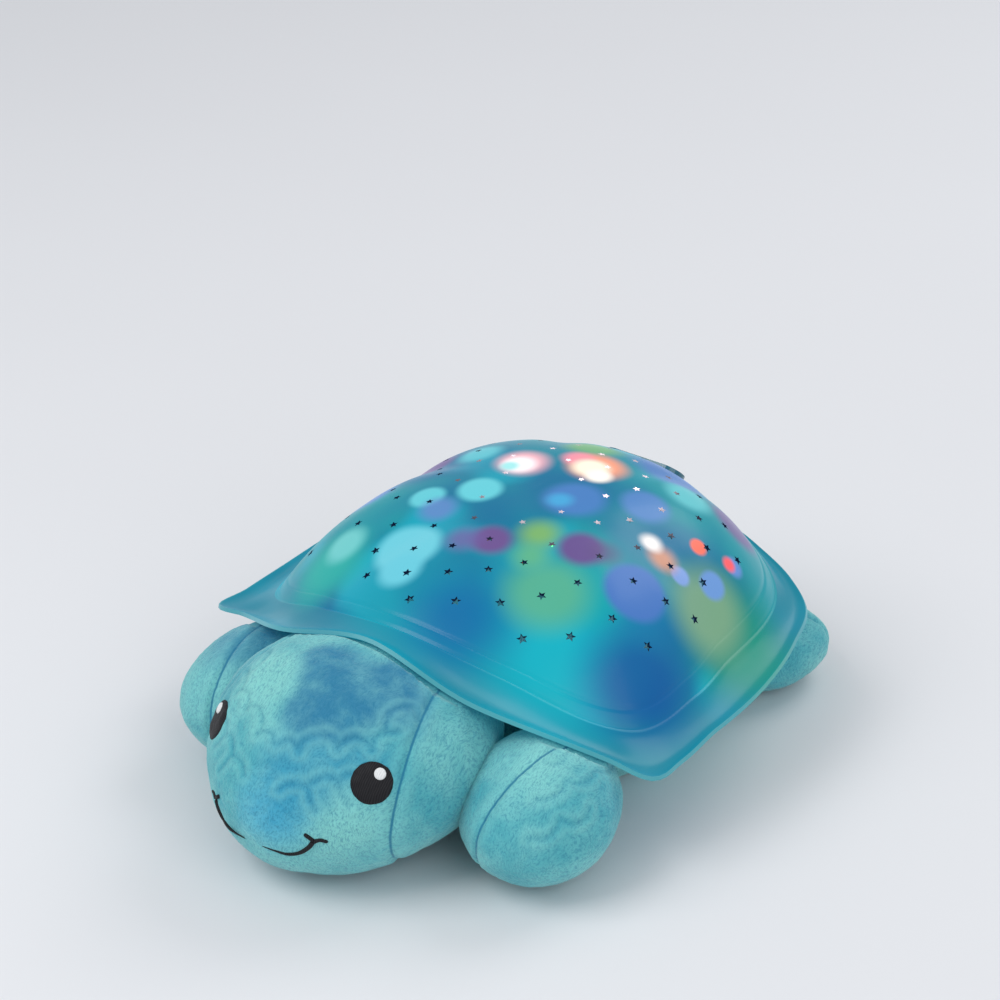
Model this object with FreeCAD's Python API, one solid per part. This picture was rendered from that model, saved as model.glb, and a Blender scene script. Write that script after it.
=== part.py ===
"""Plush turtle night light whose hard translucent shell projects stars, as an assembly of its real pieces.

Millimetres. +Z is up, the head looks along -Y, and the origin is the centre of the footprint on the ground.
The pieces are drawn round the shell's own axis and moved to the origin when they are written.
"""
import FreeCAD, Part
import math
import os
from FreeCAD import Vector as V

# Shell. Each row of a table is (degrees from the front, value), mirrored to the other side.
SHELL_WALL = 2.0
SHELL_APEX = 119.5
DOME_POWER = 3.5
DOME_LEAN = 4.0
CROWN_RISE = 2.2
CROWN_RADIUS = 46.0
VALLEY_DEPTH = 1.6
VALLEY_WIDTH = 10.0
VALLEY_ANGLES = (26.0, 92.0, 152.0)
CREASE_SOFTNESS = 6.0
CREASE_RADIUS = ((0, 118), (26, 121), (54, 134), (72, 122), (90, 112), (122, 116), (150, 112), (180, 109))
CREASE_HEIGHT = ((0, 92), (26, 81), (54, 57), (72, 58), (90, 60), (122, 62), (150, 66), (180, 69))
BRIM_RADIUS = ((0, 137), (24, 146), (40, 146), (48, 151), (54, 163), (61, 152), (72, 139), (90, 131),
               (108, 129), (121, 131), (134, 126), (150, 120), (180, 118))
BRIM_HEIGHT = ((0, 96), (24, 80), (54, 50), (72, 50), (90, 52), (121, 56), (150, 59), (180, 62))
GRID_STEP = 10.0
OVERCUT = 1.0
GRID_HALF_WIDTH = 143.0
GRID_HALF_LENGTH = 154.0
OUTLINE_POINTS = 72

# Star holes in the dome
STAR_COUNT = 84
STAR_TIP_LOW = 2.9
STAR_TIP_HIGH = 1.5
STAR_WAIST = 0.46
STAR_INNER_RING = 9.0
STAR_BORDER = 11.0
STAR_SPACE = 2.0
STAR_DEPTH = 9.0
STAR_SPREAD = 1.16

# Base tray under the dome, with a skirt that closes the light chamber
TRAY_TOP = 59.0
TRAY_PLATE = 3.0
TRAY_INSET = 10.0
SKIRT_WALL = 2.0
HARD_GAP = 0.3
SOFT_GAP = 0.4

# Screws that hold the shell to the tray, and the tray to the battery housing
SCREW_RADIUS = 1.5
SCREW_HEAD_RADIUS = 2.8
SCREW_HEAD = 1.6
SCREW_GRIP = 9.0
SCREW_FIT = 0.05
BOSS_RADIUS = 3.6
BOSS_SPACE = 1.5
POST_TUCK = 0.4
SCREW_END_GAP = 1.0
BOSS_ANGLES = (40.0, 88.0, 142.0)

# Lamp
TOWER_RADIUS = 23.0
TOWER_WALL = 2.0
TOWER_HEIGHT = 18.0
LED_BOARD = 1.6
LED_RADIUS = 2.5
LED_BODY = 4.5
LED_RIM = 0.4
LED_RIM_HEIGHT = 1.0
LED_CIRCLE = 8.0
LED_COLOURS = ("red", "green", "blue", "amber")

# Control panel on the back of the dome, drawn flat and then tilted onto it
PANEL_DISTANCE = 89.0
PANEL_LENGTH = 46.0
PANEL_WIDTH = 18.0
PANEL_DEPTH = 10.5
PANEL_PROUD = 0.5
PANEL_WALL = 1.6
PANEL_FRONT = 2.4
PANEL_LEG_SPREAD = 16.0
PANEL_LEG_WIDTH = 4.0
PANEL_LEG_THICKNESS = 3.0
LEG_HOLD = 1.0
CONTROL_BOARD = 1.2
LEDGE = 1.4
BUTTON_RADIUS = 4.2
BUTTON_PITCH = 12.5
BUTTON_STAND = 1.4
BUTTON_FLANGE = 0.9
BUTTON_FLANGE_HEIGHT = 0.9
BUTTON_GAP = 0.2
BUTTON_TRAVEL = 0.8
BUTTON_NAMES = ("power", "colour", "timer")
SWITCH_SIDE = 6.0
SWITCH_STEM_RADIUS = 1.6
SWITCH_STEM = 0.6

# Battery housing, door and cells
HOUSING_LENGTH = 84.0
HOUSING_WIDTH = 54.0
HOUSING_FLOOR_GAP = 4.0
HOUSING_WALL = 2.0
CELL_RADIUS = 5.25
CELL_LENGTH = 44.5
CELL_NUB_RADIUS = 1.9
CELL_NUB = 0.8
CELL_PITCH = 12.0
CELL_COUNT = 3
CELL_GAP = 0.3
CONTACT_SPRING = 5.0
SPRING_BASE_SHARE = 0.7
SPRING_TIP_SHARE = 0.4
CONTACT_PLATE = 0.5
CONTACT_SIDE = 9.0
DOOR_THICKNESS = 2.0
DOOR_LIP = 3.0
DOOR_GAP = 0.3
DOOR_SWING_GAP = 0.7
DOOR_PIN_RADIUS = 1.0
DOOR_PIN_LENGTH = 8.0
DOOR_PIN_SPREAD = 12.0
DOOR_PIN_REACH = 1.4
DOOR_SCREW_INSET = 5.5
DOOR_SCREW_RADIUS = 1.3
DOOR_SCREW_HEAD_RADIUS = 2.8
DOOR_SCREW_HEAD = 1.1
DOOR_SCREW_REACH = 3.0
DOOR_SCREW_GAP = 0.3
COIN_SLOT = 0.9
COIN_SLOT_DEPTH = 0.6

# Leads, through their points in order
LEAD_RADIUS = 0.9
LEAD_SIDE = 12.0
LEAD_HOLE_RADIUS = 4.0
LEAD_LAST_RUN = 20.0
LEAD_RUN_SHARE = 0.45
LEAD_HOLE_INSET = 7.0
LEAD_START_INSET = 3.0
LEAD_RISE = 20.0
LEAD_BEND_OUT = 6.0
LEAD_ABOVE_TRAY = 12.0
LAMP_LEAD_START = 15.0
LAMP_LEAD_RISE = (0.0, 3.0, 9.0)

# Stuffed body. Each row is (height, half width, half length) for the torso, and
# (distance along the limb, half width, half height, middle height) for the head and tail.
REST_FLAT = 0.5
TORSO_MIDDLE = -6.0
TORSO = ((0.0, 80.0, 86.0), (8.0, 89.0, 95.0), (26.0, 95.0, 101.0), (44.0, 95.0, 101.0), (56.2, 90.0, 97.0))
HEAD = ((96.0, 44.0, 34.0, 52.0), (118.0, 60.0, 46.0, 50.5), (143.0, 68.0, 49.5, 49.0),
        (167.0, 66.0, 48.5, 48.0), (190.0, 55.0, 42.0, 44.0), (206.0, 40.0, 31.5, 41.0),
        (217.0, 24.0, 19.5, 39.0), (222.0, 8.0, 7.0, 38.0))
TAIL = ((84.0, 17.0, 12.0, 20.0), (98.0, 15.0, 10.5, 17.0), (110.0, 11.0, 8.0, 13.5), (120.0, 6.0, 4.5, 10.0),
        (126.0, 2.0, 1.6, 8.5))
# Flippers: (centre x, centre y, half width, half length, half height, degrees turned outwards)
FLIPPERS = {
    "flipper_front_left": (88.0, -122.0, 37.0, 45.0, 33.0, 20.0),
    "flipper_front_right": (-80.0, -121.0, 36.0, 44.0, 33.0, -12.0),
    "flipper_rear_left": (80.0, 80.0, 28.0, 38.0, 20.0, 160.0),
    "flipper_rear_right": (-80.0, 80.0, 28.0, 38.0, 20.0, 200.0),
}
FLIPPER_STATIONS = 8
FLIPPER_END = 0.985
EYE_RADIUS = 9.8
EYE_DEPTH = 3.0
EYE_PROUD = 0.6
EYE_PLACE = (43.5, -189.0, 62.6)
EYE_AIM = (0.72, -0.52, 0.46)

FAR = 400.0
UP = V(0, 0, 1)


def table_value(table, angle):
    """Value of a mirrored table at an angle from the front, on a smooth curve through its rows."""
    angle = abs((angle + 180.0) % 360.0 - 180.0)
    rows = [(-a, v) for a, v in table[1:3]][::-1] + list(table) + [(360.0 - a, v) for a, v in table[-3:-1]][::-1]
    index = 1
    while rows[index + 1][0] < angle:
        index += 1
    (a0, v0), (a1, v1), (a2, v2), (a3, v3) = rows[index - 1:index + 3]
    span = a2 - a1
    t = (angle - a1) / span
    slope1 = (v2 - v0) / (a2 - a0) * span
    slope2 = (v3 - v1) / (a3 - a1) * span
    return ((2 * t**3 - 3 * t**2 + 1) * v1 + (t**3 - 2 * t**2 + t) * slope1
            + (3 * t**2 - 2 * t**3) * v2 + (t**3 - t**2) * slope2)


def soft_step(value):
    """Rise smoothly from 0 to 1 while the value goes from 0 to 1."""
    value = min(max(value, 0.0), 1.0)
    return value * value * (3.0 - 2.0 * value)


def bearing(x, y):
    """Degrees from the front and distance from the shell's axis."""
    return math.degrees(math.atan2(x, -y)), math.hypot(x, y)


def shell_height(x, y):
    """Height of the shell's outer face: a lobed dome that flares into a brim."""
    angle, distance = bearing(x, y)
    crease = table_value(CREASE_RADIUS, angle)
    crease_height = table_value(CREASE_HEIGHT, angle)
    brim = table_value(BRIM_RADIUS, angle)
    brim_height = table_value(BRIM_HEIGHT, angle)
    share = distance / crease
    dome = crease_height + (SHELL_APEX - crease_height) * (1.0 - share**DOME_POWER)
    dome += DOME_LEAN * y / crease * (1.0 - min(share, 1.0)**2)
    dome += CROWN_RISE * (1.0 - soft_step(distance / CROWN_RADIUS - 0.5))
    ramp = soft_step(distance / CROWN_RADIUS - 0.6) * (1.0 - soft_step(3.0 * share - 2.2))
    for valley in VALLEY_ANGLES:
        for side in (-1.0, 1.0):
            turn = math.radians(angle - side * valley)
            if math.cos(turn) > 0.0:
                across = distance * math.sin(turn) / VALLEY_WIDTH
                dome -= VALLEY_DEPTH * ramp * math.exp(-across * across)
    fall = (brim_height - crease_height) / (brim - crease)
    rim = crease_height + fall * max(distance - crease, -CREASE_SOFTNESS)
    return 0.5 * (dome + rim + math.sqrt((dome - rim)**2 + CREASE_SOFTNESS**2))


def shell_normal(x, y):
    """Outward direction of the shell's outer face."""
    run = 0.5
    rise_x = (shell_height(x + run, y) - shell_height(x - run, y)) / (2.0 * run)
    rise_y = (shell_height(x, y + run) - shell_height(x, y - run)) / (2.0 * run)
    return V(-rise_x, -rise_y, 1.0).normalize()


def offset_height(x, y, inwards):
    """Height of the face that lies a given distance inside the shell's outer face."""
    return shell_height(x, y) - inwards / shell_normal(x, y).z


def grid_face(inwards):
    """The shell's outer face, or one inside it, over the whole grid."""
    columns = round(GRID_HALF_WIDTH / GRID_STEP)
    rows = round(GRID_HALF_LENGTH / GRID_STEP)
    points = [[V(i * GRID_STEP, j * GRID_STEP, offset_height(i * GRID_STEP, j * GRID_STEP, inwards))
               for j in range(-rows, rows + 1)] for i in range(-columns, columns + 1)]
    surface = Part.BSplineSurface()
    surface.interpolate(points)
    return surface.toShape()


def flat_face():
    """The grid's own rectangle on the ground, with its edges in the order of grid_face."""
    x = round(GRID_HALF_WIDTH / GRID_STEP) * GRID_STEP
    y = round(GRID_HALF_LENGTH / GRID_STEP) * GRID_STEP
    surface = Part.BSplineSurface()
    surface.interpolate([[V(i * x, j * y, 0.0) for j in (-1, 0, 1)] for i in (-1, 0, 1)])
    return surface.toShape()


def between(upper, lower):
    """Closed solid between two faces over the same rectangle."""
    sides = [Part.makeRuledSurface(a, b) for a, b in zip(upper.Edges, lower.Edges)]
    skin = Part.makeShell([upper, lower] + sides)
    skin.sewShape()
    return Part.makeSolid(skin)


def under_shell(inwards):
    """Everything from the ground up to a face that lies inside the shell's outer face."""
    return between(grid_face(inwards), flat_face())


def ring_prism(table, grow, bottom, top):
    """Upright prism on the outline that a table of radii gives, grown by a margin."""
    points = []
    for index in range(OUTLINE_POINTS):
        angle = 360.0 * index / OUTLINE_POINTS
        radius = table_value(table, angle) + grow
        points.append(V(radius * math.sin(math.radians(angle)), -radius * math.cos(math.radians(angle)), bottom))
    curve = Part.BSplineCurve()
    curve.interpolate(points, PeriodicFlag=True)
    return Part.Face(Part.Wire(curve.toShape())).extrude(V(0, 0, top - bottom))


def rod(radius, start, end):
    """Solid cylinder from one point to another."""
    return Part.makeCylinder(radius, (end - start).Length, start, end - start)


def block(length, width, bottom, top, x=0.0, y=0.0):
    """Upright box centred on x, y."""
    return Part.makeBox(length, width, top - bottom, V(x - length / 2.0, y - width / 2.0, bottom))


def boss_places():
    """Axes of the screw bosses, just inside the tray's skirt."""
    places = []
    for side in (1.0, -1.0):
        for angle in BOSS_ANGLES:
            reach = table_value(CREASE_RADIUS, angle) - TRAY_INSET - SKIRT_WALL - BOSS_SPACE - BOSS_RADIUS
            places.append(V(side * reach * math.sin(math.radians(angle)), -reach * math.cos(math.radians(angle)), 0))
    return places


def panel_placement():
    """Place and tilt of the control panel: z is out of the shell, 0 on its outer face."""
    normal = shell_normal(0.0, PANEL_DISTANCE)
    centre = V(0.0, PANEL_DISTANCE, shell_height(0.0, PANEL_DISTANCE))
    return FreeCAD.Placement(centre, FreeCAD.Rotation(UP, normal))


def stadium(length, width, bottom, top):
    """Flat bar with half-round ends along x."""
    radius = width / 2.0
    reach = length / 2.0 - radius
    bar = block(2.0 * reach, width, bottom, top)
    for side in (-1.0, 1.0):
        bar = bar.fuse(Part.makeCylinder(radius, top - bottom, V(side * reach, 0, bottom)))
    return bar.removeSplitter()


def star_prism(place, normal, tip):
    """Five-pointed star, drawn on the shell and pushed through it."""
    turn = FreeCAD.Rotation(UP, normal)
    corners = []
    for index in range(10):
        reach = tip if index % 2 == 0 else tip * STAR_WAIST
        angle = math.pi * index / 5.0
        flat = V(reach * math.sin(angle), reach * math.cos(angle), -STAR_DEPTH / 2.0)
        corners.append(place + turn.multVec(flat))
    return Part.Face(Part.makePolygon(corners + corners[:1])).extrude(normal * STAR_DEPTH)


def star_places():
    """Centres and sizes of the stars, on a sunflower spiral that keeps off the bosses and the panel."""
    golden = math.pi * (3.0 - math.sqrt(5.0))
    places = []
    bosses = boss_places()
    placement = panel_placement()
    index = 0
    while len(places) < STAR_COUNT:
        index += 1
        share = math.sqrt(index / (STAR_COUNT * STAR_SPREAD))
        angle = index * golden
        limit = table_value(CREASE_RADIUS, math.degrees(angle)) - STAR_BORDER
        distance = STAR_INNER_RING + (limit - STAR_INNER_RING) * share
        x, y = distance * math.sin(angle), -distance * math.cos(angle)
        tip = STAR_TIP_HIGH + (STAR_TIP_LOW - STAR_TIP_HIGH) * min(share, 1.0)
        room = tip + STAR_SPACE
        near_boss = any(math.hypot(x - boss.x, y - boss.y) < BOSS_RADIUS + room for boss in bosses)
        local = placement.inverse().multVec(V(x, y, shell_height(x, y)))
        near_panel = abs(local.x) < PANEL_LENGTH / 2.0 + room and abs(local.y) < PANEL_WIDTH / 2.0 + room
        if share > 1.0:
            break
        if not near_boss and not near_panel:
            places.append((V(x, y, shell_height(x, y)), tip))
    return places


def make_shell():
    """Translucent dome and brim in one moulding, with star holes, the panel's opening and screw bosses."""
    outer = grid_face(0.0)
    wall = between(outer, grid_face(SHELL_WALL)).common(ring_prism(BRIM_RADIUS, 0.0, 0.0, FAR))
    posts = [rod(BOSS_RADIUS, place + UP * TRAY_TOP, place + UP * SHELL_APEX) for place in boss_places()]
    posts = Part.makeCompound(posts).common(under_shell(SHELL_WALL / 2.0))
    shell = wall.fuse(posts.Solids)
    pilots = [rod(SCREW_RADIUS + SCREW_FIT, place + UP * (TRAY_TOP - OVERCUT), place + UP * (TRAY_TOP + SCREW_GRIP))
              for place in boss_places()]
    opening = stadium(PANEL_LENGTH + 2.0 * HARD_GAP, PANEL_WIDTH + 2.0 * HARD_GAP, -PANEL_DEPTH, PANEL_DEPTH)
    opening.Placement = panel_placement()
    stars = [star_prism(place, shell_normal(place.x, place.y), tip) for place, tip in star_places()]
    return shell.cut(pilots + [opening] + stars)


def make_base_tray():
    """Tray that closes the dome from below, with a skirt up to the inside of the shell."""
    bottom = TRAY_TOP - TRAY_PLATE
    tray = ring_prism(CREASE_RADIUS, -TRAY_INSET, bottom, SHELL_APEX)
    tray = tray.cut(ring_prism(CREASE_RADIUS, -TRAY_INSET - SKIRT_WALL, TRAY_TOP, SHELL_APEX))
    tray = tray.common(under_shell(SHELL_WALL + HARD_GAP))
    tools = []
    for place in boss_places():
        tools.append(rod(SCREW_RADIUS + SCREW_FIT, place, place + UP * TRAY_TOP))
        tools.append(rod(SCREW_HEAD_RADIUS + SCREW_FIT, place, place + UP * (bottom + SCREW_HEAD)))
    for place in post_places():
        tools.append(rod(SCREW_RADIUS + SCREW_FIT, place, place + UP * TRAY_TOP))
    tools.append(rod(LEAD_HOLE_RADIUS, lead_hole(), lead_hole() + UP * TRAY_TOP))
    return tray.cut(tools)


def screw(head, direction, length):
    """Round-headed screw: the underside of its head is at the given point."""
    shaft = rod(SCREW_RADIUS, head, head + direction * length)
    return shaft.fuse(rod(SCREW_HEAD_RADIUS, head - direction * SCREW_HEAD, head)).removeSplitter()


def make_shell_screws():
    """Screws from below through the tray into the shell's bosses."""
    seat = TRAY_TOP - TRAY_PLATE + SCREW_HEAD
    length = TRAY_PLATE - SCREW_HEAD + SCREW_GRIP - SCREW_END_GAP
    return Part.makeCompound([screw(place + UP * seat, UP, length) for place in boss_places()])


def post_places():
    """Axes of the four posts in the battery housing's corners."""
    x = HOUSING_LENGTH / 2.0 - HOUSING_WALL - BOSS_RADIUS + POST_TUCK
    y = HOUSING_WIDTH / 2.0 - HOUSING_WALL - BOSS_RADIUS + POST_TUCK
    return [V(i * x, j * y, 0) for i in (-1.0, 1.0) for j in (-1.0, 1.0)]


def make_housing_screws():
    """Screws from above through the tray into the housing's posts."""
    return Part.makeCompound([screw(place + UP * TRAY_TOP, -UP, SCREW_GRIP) for place in post_places()])


def make_lamp_tower():
    """Tube that carries the lamp board above the tray."""
    tube = Part.makeCylinder(TOWER_RADIUS, TOWER_HEIGHT, V(0, 0, TRAY_TOP))
    return tube.cut(Part.makeCylinder(TOWER_RADIUS - TOWER_WALL, TOWER_HEIGHT, V(0, 0, TRAY_TOP)))


def led_board_top():
    """Height of the lamp board's upper face."""
    return TRAY_TOP + TOWER_HEIGHT + LED_BOARD


def make_led_board():
    """Round board on the lamp tower."""
    return Part.makeCylinder(TOWER_RADIUS, LED_BOARD, V(0, 0, TRAY_TOP + TOWER_HEIGHT))


def make_led(index):
    """Domed lamp with its rim, standing on the lamp board."""
    angle = 2.0 * math.pi * index / len(LED_COLOURS)
    foot = V(LED_CIRCLE * math.cos(angle), LED_CIRCLE * math.sin(angle), led_board_top())
    led = rod(LED_RADIUS, foot, foot + UP * LED_BODY)
    led = led.fuse(rod(LED_RADIUS + LED_RIM, foot, foot + UP * LED_RIM_HEIGHT))
    return led.fuse(Part.makeSphere(LED_RADIUS, foot + UP * LED_BODY)).removeSplitter()


def panel_back():
    """Level of the panel's rim behind the board, measured out of the shell."""
    return PANEL_PROUD - PANEL_DEPTH


def board_front():
    """Level of the control board's front face."""
    return panel_back() + CONTROL_BOARD + HARD_GAP


def button_places():
    """Positions of the buttons along the panel."""
    return [(index - 1) * BUTTON_PITCH for index in range(len(BUTTON_NAMES))]


def make_control_panel():
    """Oval panel in the back of the dome, with button bores, a ledge for its board and legs to the tray."""
    panel = stadium(PANEL_LENGTH, PANEL_WIDTH, panel_back(), PANEL_PROUD)
    front = PANEL_PROUD - PANEL_FRONT
    board_room = 2.0 * PANEL_WALL
    room = board_room + 2.0 * LEDGE
    panel = panel.cut(stadium(PANEL_LENGTH - board_room, PANEL_WIDTH - board_room, panel_back(), board_front()))
    panel = panel.cut(stadium(PANEL_LENGTH - room, PANEL_WIDTH - room, panel_back(), front))
    for x in button_places():
        panel = panel.cut(rod(BUTTON_RADIUS + BUTTON_GAP, V(x, 0, front), V(x, 0, PANEL_PROUD)))
    placement = panel_placement()
    panel.Placement = placement
    for side in (-1.0, 1.0):
        hold = placement.multVec(V(side * PANEL_LEG_SPREAD, PANEL_LEG_THICKNESS / 2.0 - PANEL_WIDTH / 2.0,
                                   panel_back() + LEG_HOLD))
        leg = block(PANEL_LEG_WIDTH, PANEL_LEG_THICKNESS, TRAY_TOP, hold.z, hold.x, hold.y)
        panel = panel.fuse(leg)
    inside = stadium(PANEL_LENGTH - board_room, PANEL_WIDTH - board_room, panel_back() - OVERCUT, board_front())
    inside.Placement = placement
    return panel.cut(inside).removeSplitter()


def make_control_board():
    """Circuit board against the ledge inside the panel."""
    side = 2.0 * (PANEL_WALL + HARD_GAP)
    board = stadium(PANEL_LENGTH - side, PANEL_WIDTH - side, board_front() - CONTROL_BOARD, board_front())
    board.Placement = panel_placement()
    return board


def button_foot():
    """Level of a button's underside at rest."""
    return PANEL_PROUD - PANEL_FRONT - BUTTON_GAP - BUTTON_FLANGE_HEIGHT


def make_tact_switches():
    """Push switches on the board, one behind each button."""
    switches = []
    stem_top = button_foot() - BUTTON_TRAVEL - BUTTON_GAP / 2.0
    for x in button_places():
        body = block(SWITCH_SIDE, SWITCH_SIDE, board_front(), stem_top - SWITCH_STEM, x)
        stem = rod(SWITCH_STEM_RADIUS, V(x, 0, stem_top - SWITCH_STEM), V(x, 0, stem_top))
        switches.append(body.fuse(stem))
    switches = Part.makeCompound(switches)
    switches.Placement = panel_placement()
    return switches


def make_button(x):
    """Round cap that stands out of the panel, kept in by a flange behind it."""
    cap = rod(BUTTON_RADIUS, V(x, 0, button_foot()), V(x, 0, PANEL_PROUD + BUTTON_STAND))
    cap = cap.makeFillet(BUTTON_STAND / 2.0, [edge for edge in cap.Edges if edge.BoundBox.ZMin > PANEL_PROUD])
    flange = rod(BUTTON_RADIUS + BUTTON_FLANGE, V(x, 0, button_foot()),
                 V(x, 0, button_foot() + BUTTON_FLANGE_HEIGHT))
    button = cap.fuse(flange).removeSplitter()
    button.Placement = panel_placement()
    return button


def bay_length():
    """Room along x for a cell, its spring and both contact plates."""
    return CELL_LENGTH + CONTACT_SPRING + 2.0 * CONTACT_PLATE


def bay_width():
    """Room along y for the row of cells."""
    return (CELL_COUNT - 1) * CELL_PITCH + 2.0 * (CELL_RADIUS + CELL_GAP)


def door_top():
    """Height of the door's inner face."""
    return HOUSING_FLOOR_GAP + DOOR_THICKNESS


def cell_height():
    """Height of the cells' axes."""
    return door_top() + CELL_GAP + CELL_RADIUS


def bay_roof():
    """Height of the top of the battery bay."""
    return cell_height() + CELL_RADIUS + CELL_GAP


def door_edges():
    """The door's edges along x: beside its pins and beyond its screw."""
    return -bay_length() / 2.0 - DOOR_LIP, bay_length() / 2.0 + 2.0 * DOOR_SCREW_INSET


def door_screw_x():
    """Position of the door's screw along x."""
    return door_edges()[1] - DOOR_SCREW_INSET


def pin_axis():
    """Point on the door's pin axis, which runs along y."""
    return V(door_edges()[0] - DOOR_PIN_REACH, 0, HOUSING_FLOOR_GAP + DOOR_THICKNESS / 2.0)


def make_battery_housing():
    """Box under the tray: bay and door recess below, open room and screw posts above."""
    top = TRAY_TOP - TRAY_PLATE
    housing = block(HOUSING_LENGTH, HOUSING_WIDTH, HOUSING_FLOOR_GAP, top)
    inner_length = HOUSING_LENGTH - 2.0 * HOUSING_WALL
    inner_width = HOUSING_WIDTH - 2.0 * HOUSING_WALL
    housing = housing.cut(block(inner_length, inner_width, bay_roof() + HOUSING_WALL, top))
    for place in post_places():
        post = rod(BOSS_RADIUS, place + UP * bay_roof(), place + UP * top)
        pilot = rod(SCREW_RADIUS + SCREW_FIT, place + UP * (top - SCREW_GRIP), place + UP * top)
        housing = housing.fuse(post).cut(pilot)
    housing = housing.cut(block(bay_length(), bay_width(), HOUSING_FLOOR_GAP, bay_roof()))
    left, right = door_edges()
    length = right - left + DOOR_GAP + DOOR_SWING_GAP
    middle = (left + right + DOOR_GAP - DOOR_SWING_GAP) / 2.0
    width = bay_width() + 2.0 * (DOOR_LIP + DOOR_GAP)
    housing = housing.cut(block(length, width, HOUSING_FLOOR_GAP, door_top() + DOOR_GAP, middle))
    for side in (-1.0, 1.0):
        room = DOOR_PIN_RADIUS + DOOR_GAP
        pocket = block(room + DOOR_PIN_REACH, DOOR_PIN_LENGTH + 2.0 * DOOR_GAP, HOUSING_FLOOR_GAP,
                       pin_axis().z + room, pin_axis().x + (DOOR_PIN_REACH - room) / 2.0, side * DOOR_PIN_SPREAD)
        housing = housing.cut(pocket)
    hole = V(door_screw_x(), 0, HOUSING_FLOOR_GAP)
    housing = housing.cut(rod(DOOR_SCREW_RADIUS + DOOR_SCREW_GAP, hole,
                              hole + UP * (DOOR_THICKNESS + DOOR_SCREW_REACH + SCREW_END_GAP)))
    return housing.removeSplitter()


def make_battery_door():
    """Door in the housing's underside, with two hinge pins and a hole for its screw."""
    left, right = door_edges()
    door = block(right - left, bay_width() + 2.0 * DOOR_LIP, HOUSING_FLOOR_GAP, door_top(), (left + right) / 2.0)
    for side in (-1.0, 1.0):
        middle = pin_axis() + V(0, side * DOOR_PIN_SPREAD, 0)
        half = V(0, DOOR_PIN_LENGTH / 2.0, 0)
        door = door.fuse(rod(DOOR_PIN_RADIUS, middle - half, middle + half))
        web = block(DOOR_PIN_REACH, DOOR_PIN_LENGTH, HOUSING_FLOOR_GAP, door_top(),
                    middle.x + DOOR_PIN_REACH / 2.0, middle.y)
        door = door.fuse(web)
    foot = V(door_screw_x(), 0, HOUSING_FLOOR_GAP)
    door = door.cut(rod(DOOR_SCREW_RADIUS + DOOR_SCREW_GAP, foot, foot + UP * DOOR_THICKNESS))
    door = door.cut(rod(DOOR_SCREW_HEAD_RADIUS + DOOR_SCREW_GAP, foot, foot + UP * DOOR_SCREW_HEAD))
    return door.removeSplitter()


def make_door_screw():
    """Coin-slotted screw that locks the door."""
    foot = V(door_screw_x(), 0, HOUSING_FLOOR_GAP)
    bolt = rod(DOOR_SCREW_RADIUS, foot, foot + UP * (DOOR_THICKNESS + DOOR_SCREW_REACH))
    bolt = bolt.fuse(rod(DOOR_SCREW_HEAD_RADIUS, foot, foot + UP * (DOOR_SCREW_HEAD - SCREW_FIT)))
    slot = block(2.0 * DOOR_SCREW_HEAD_RADIUS, COIN_SLOT, HOUSING_FLOOR_GAP,
                 HOUSING_FLOOR_GAP + COIN_SLOT_DEPTH, foot.x)
    return bolt.cut(slot).removeSplitter()


def cell_rows():
    """For each cell: its y, and 1 or -1 for the end that its nub is at."""
    middle = (CELL_COUNT - 1) / 2.0
    return [((index - middle) * CELL_PITCH, 1.0 if index % 2 == 0 else -1.0) for index in range(CELL_COUNT)]


def cell_point(y, end, from_end):
    """Point on a cell's axis, measured into the bay from the wall at one end."""
    return V(end * (bay_length() / 2.0 - from_end), y, cell_height())


def make_battery(y, end):
    """Cell with its nub against a plate and its flat end against a spring."""
    tip = cell_point(y, end, CONTACT_PLATE)
    shoulder = cell_point(y, end, CONTACT_PLATE + CELL_NUB)
    tail = cell_point(y, -end, CONTACT_PLATE + CONTACT_SPRING)
    return rod(CELL_RADIUS, shoulder, tail).fuse(rod(CELL_NUB_RADIUS, tip, shoulder)).removeSplitter()


def make_contact_springs():
    """Tapered springs that press on the cells' flat ends, as closed cones."""
    cones = []
    for y, end in cell_rows():
        base = cell_point(y, -end, CONTACT_PLATE)
        tip = cell_point(y, -end, CONTACT_PLATE + CONTACT_SPRING)
        cones.append(Part.makeCone(SPRING_BASE_SHARE * CELL_RADIUS, SPRING_TIP_SHARE * CELL_RADIUS, CONTACT_SPRING,
                                   base, tip - base))
    return Part.makeCompound(cones)


def make_contact_plates():
    """Thin plates on the bay's end walls, one at each end of each cell."""
    plates = []
    for y, _ in cell_rows():
        for end in (-1.0, 1.0):
            middle = cell_point(y, end, CONTACT_PLATE / 2.0)
            plates.append(block(CONTACT_PLATE, CONTACT_SIDE, middle.z - CONTACT_SIDE / 2.0,
                                middle.z + CONTACT_SIDE / 2.0, middle.x, middle.y))
    return Part.makeCompound(plates)


def lead_hole():
    """Centre of the hole in the tray that the battery lead goes up through."""
    return V(LEAD_SIDE, HOUSING_WIDTH / 2.0 - LEAD_HOLE_INSET, 0)


def make_lead(name, points):
    """Wire along straight runs joined by tangent arcs."""
    edges = []
    start = points[0]
    for before, corner, after in zip(points, points[1:], points[2:]):
        inwards, outwards = (corner - before).normalize(), (after - corner).normalize()
        turn = inwards.getAngle(outwards)
        reach = LEAD_RUN_SHARE * min((corner - before).Length, (after - corner).Length)
        print(name, "arc radius", round(reach / math.tan(turn / 2.0), 1))
        arc_start, arc_end = corner - inwards * reach, corner + outwards * reach
        edges.append(Part.LineSegment(start, arc_start).toShape())
        edges.append(arc_through(arc_start, corner, arc_end))
        start = arc_end
    edges.append(Part.LineSegment(start, points[-1]).toShape())
    circle = Part.Wire(Part.Circle(points[0], points[1] - points[0], LEAD_RADIUS).toShape())
    return Part.Wire(edges).makePipeShell([circle], True, False)


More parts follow.
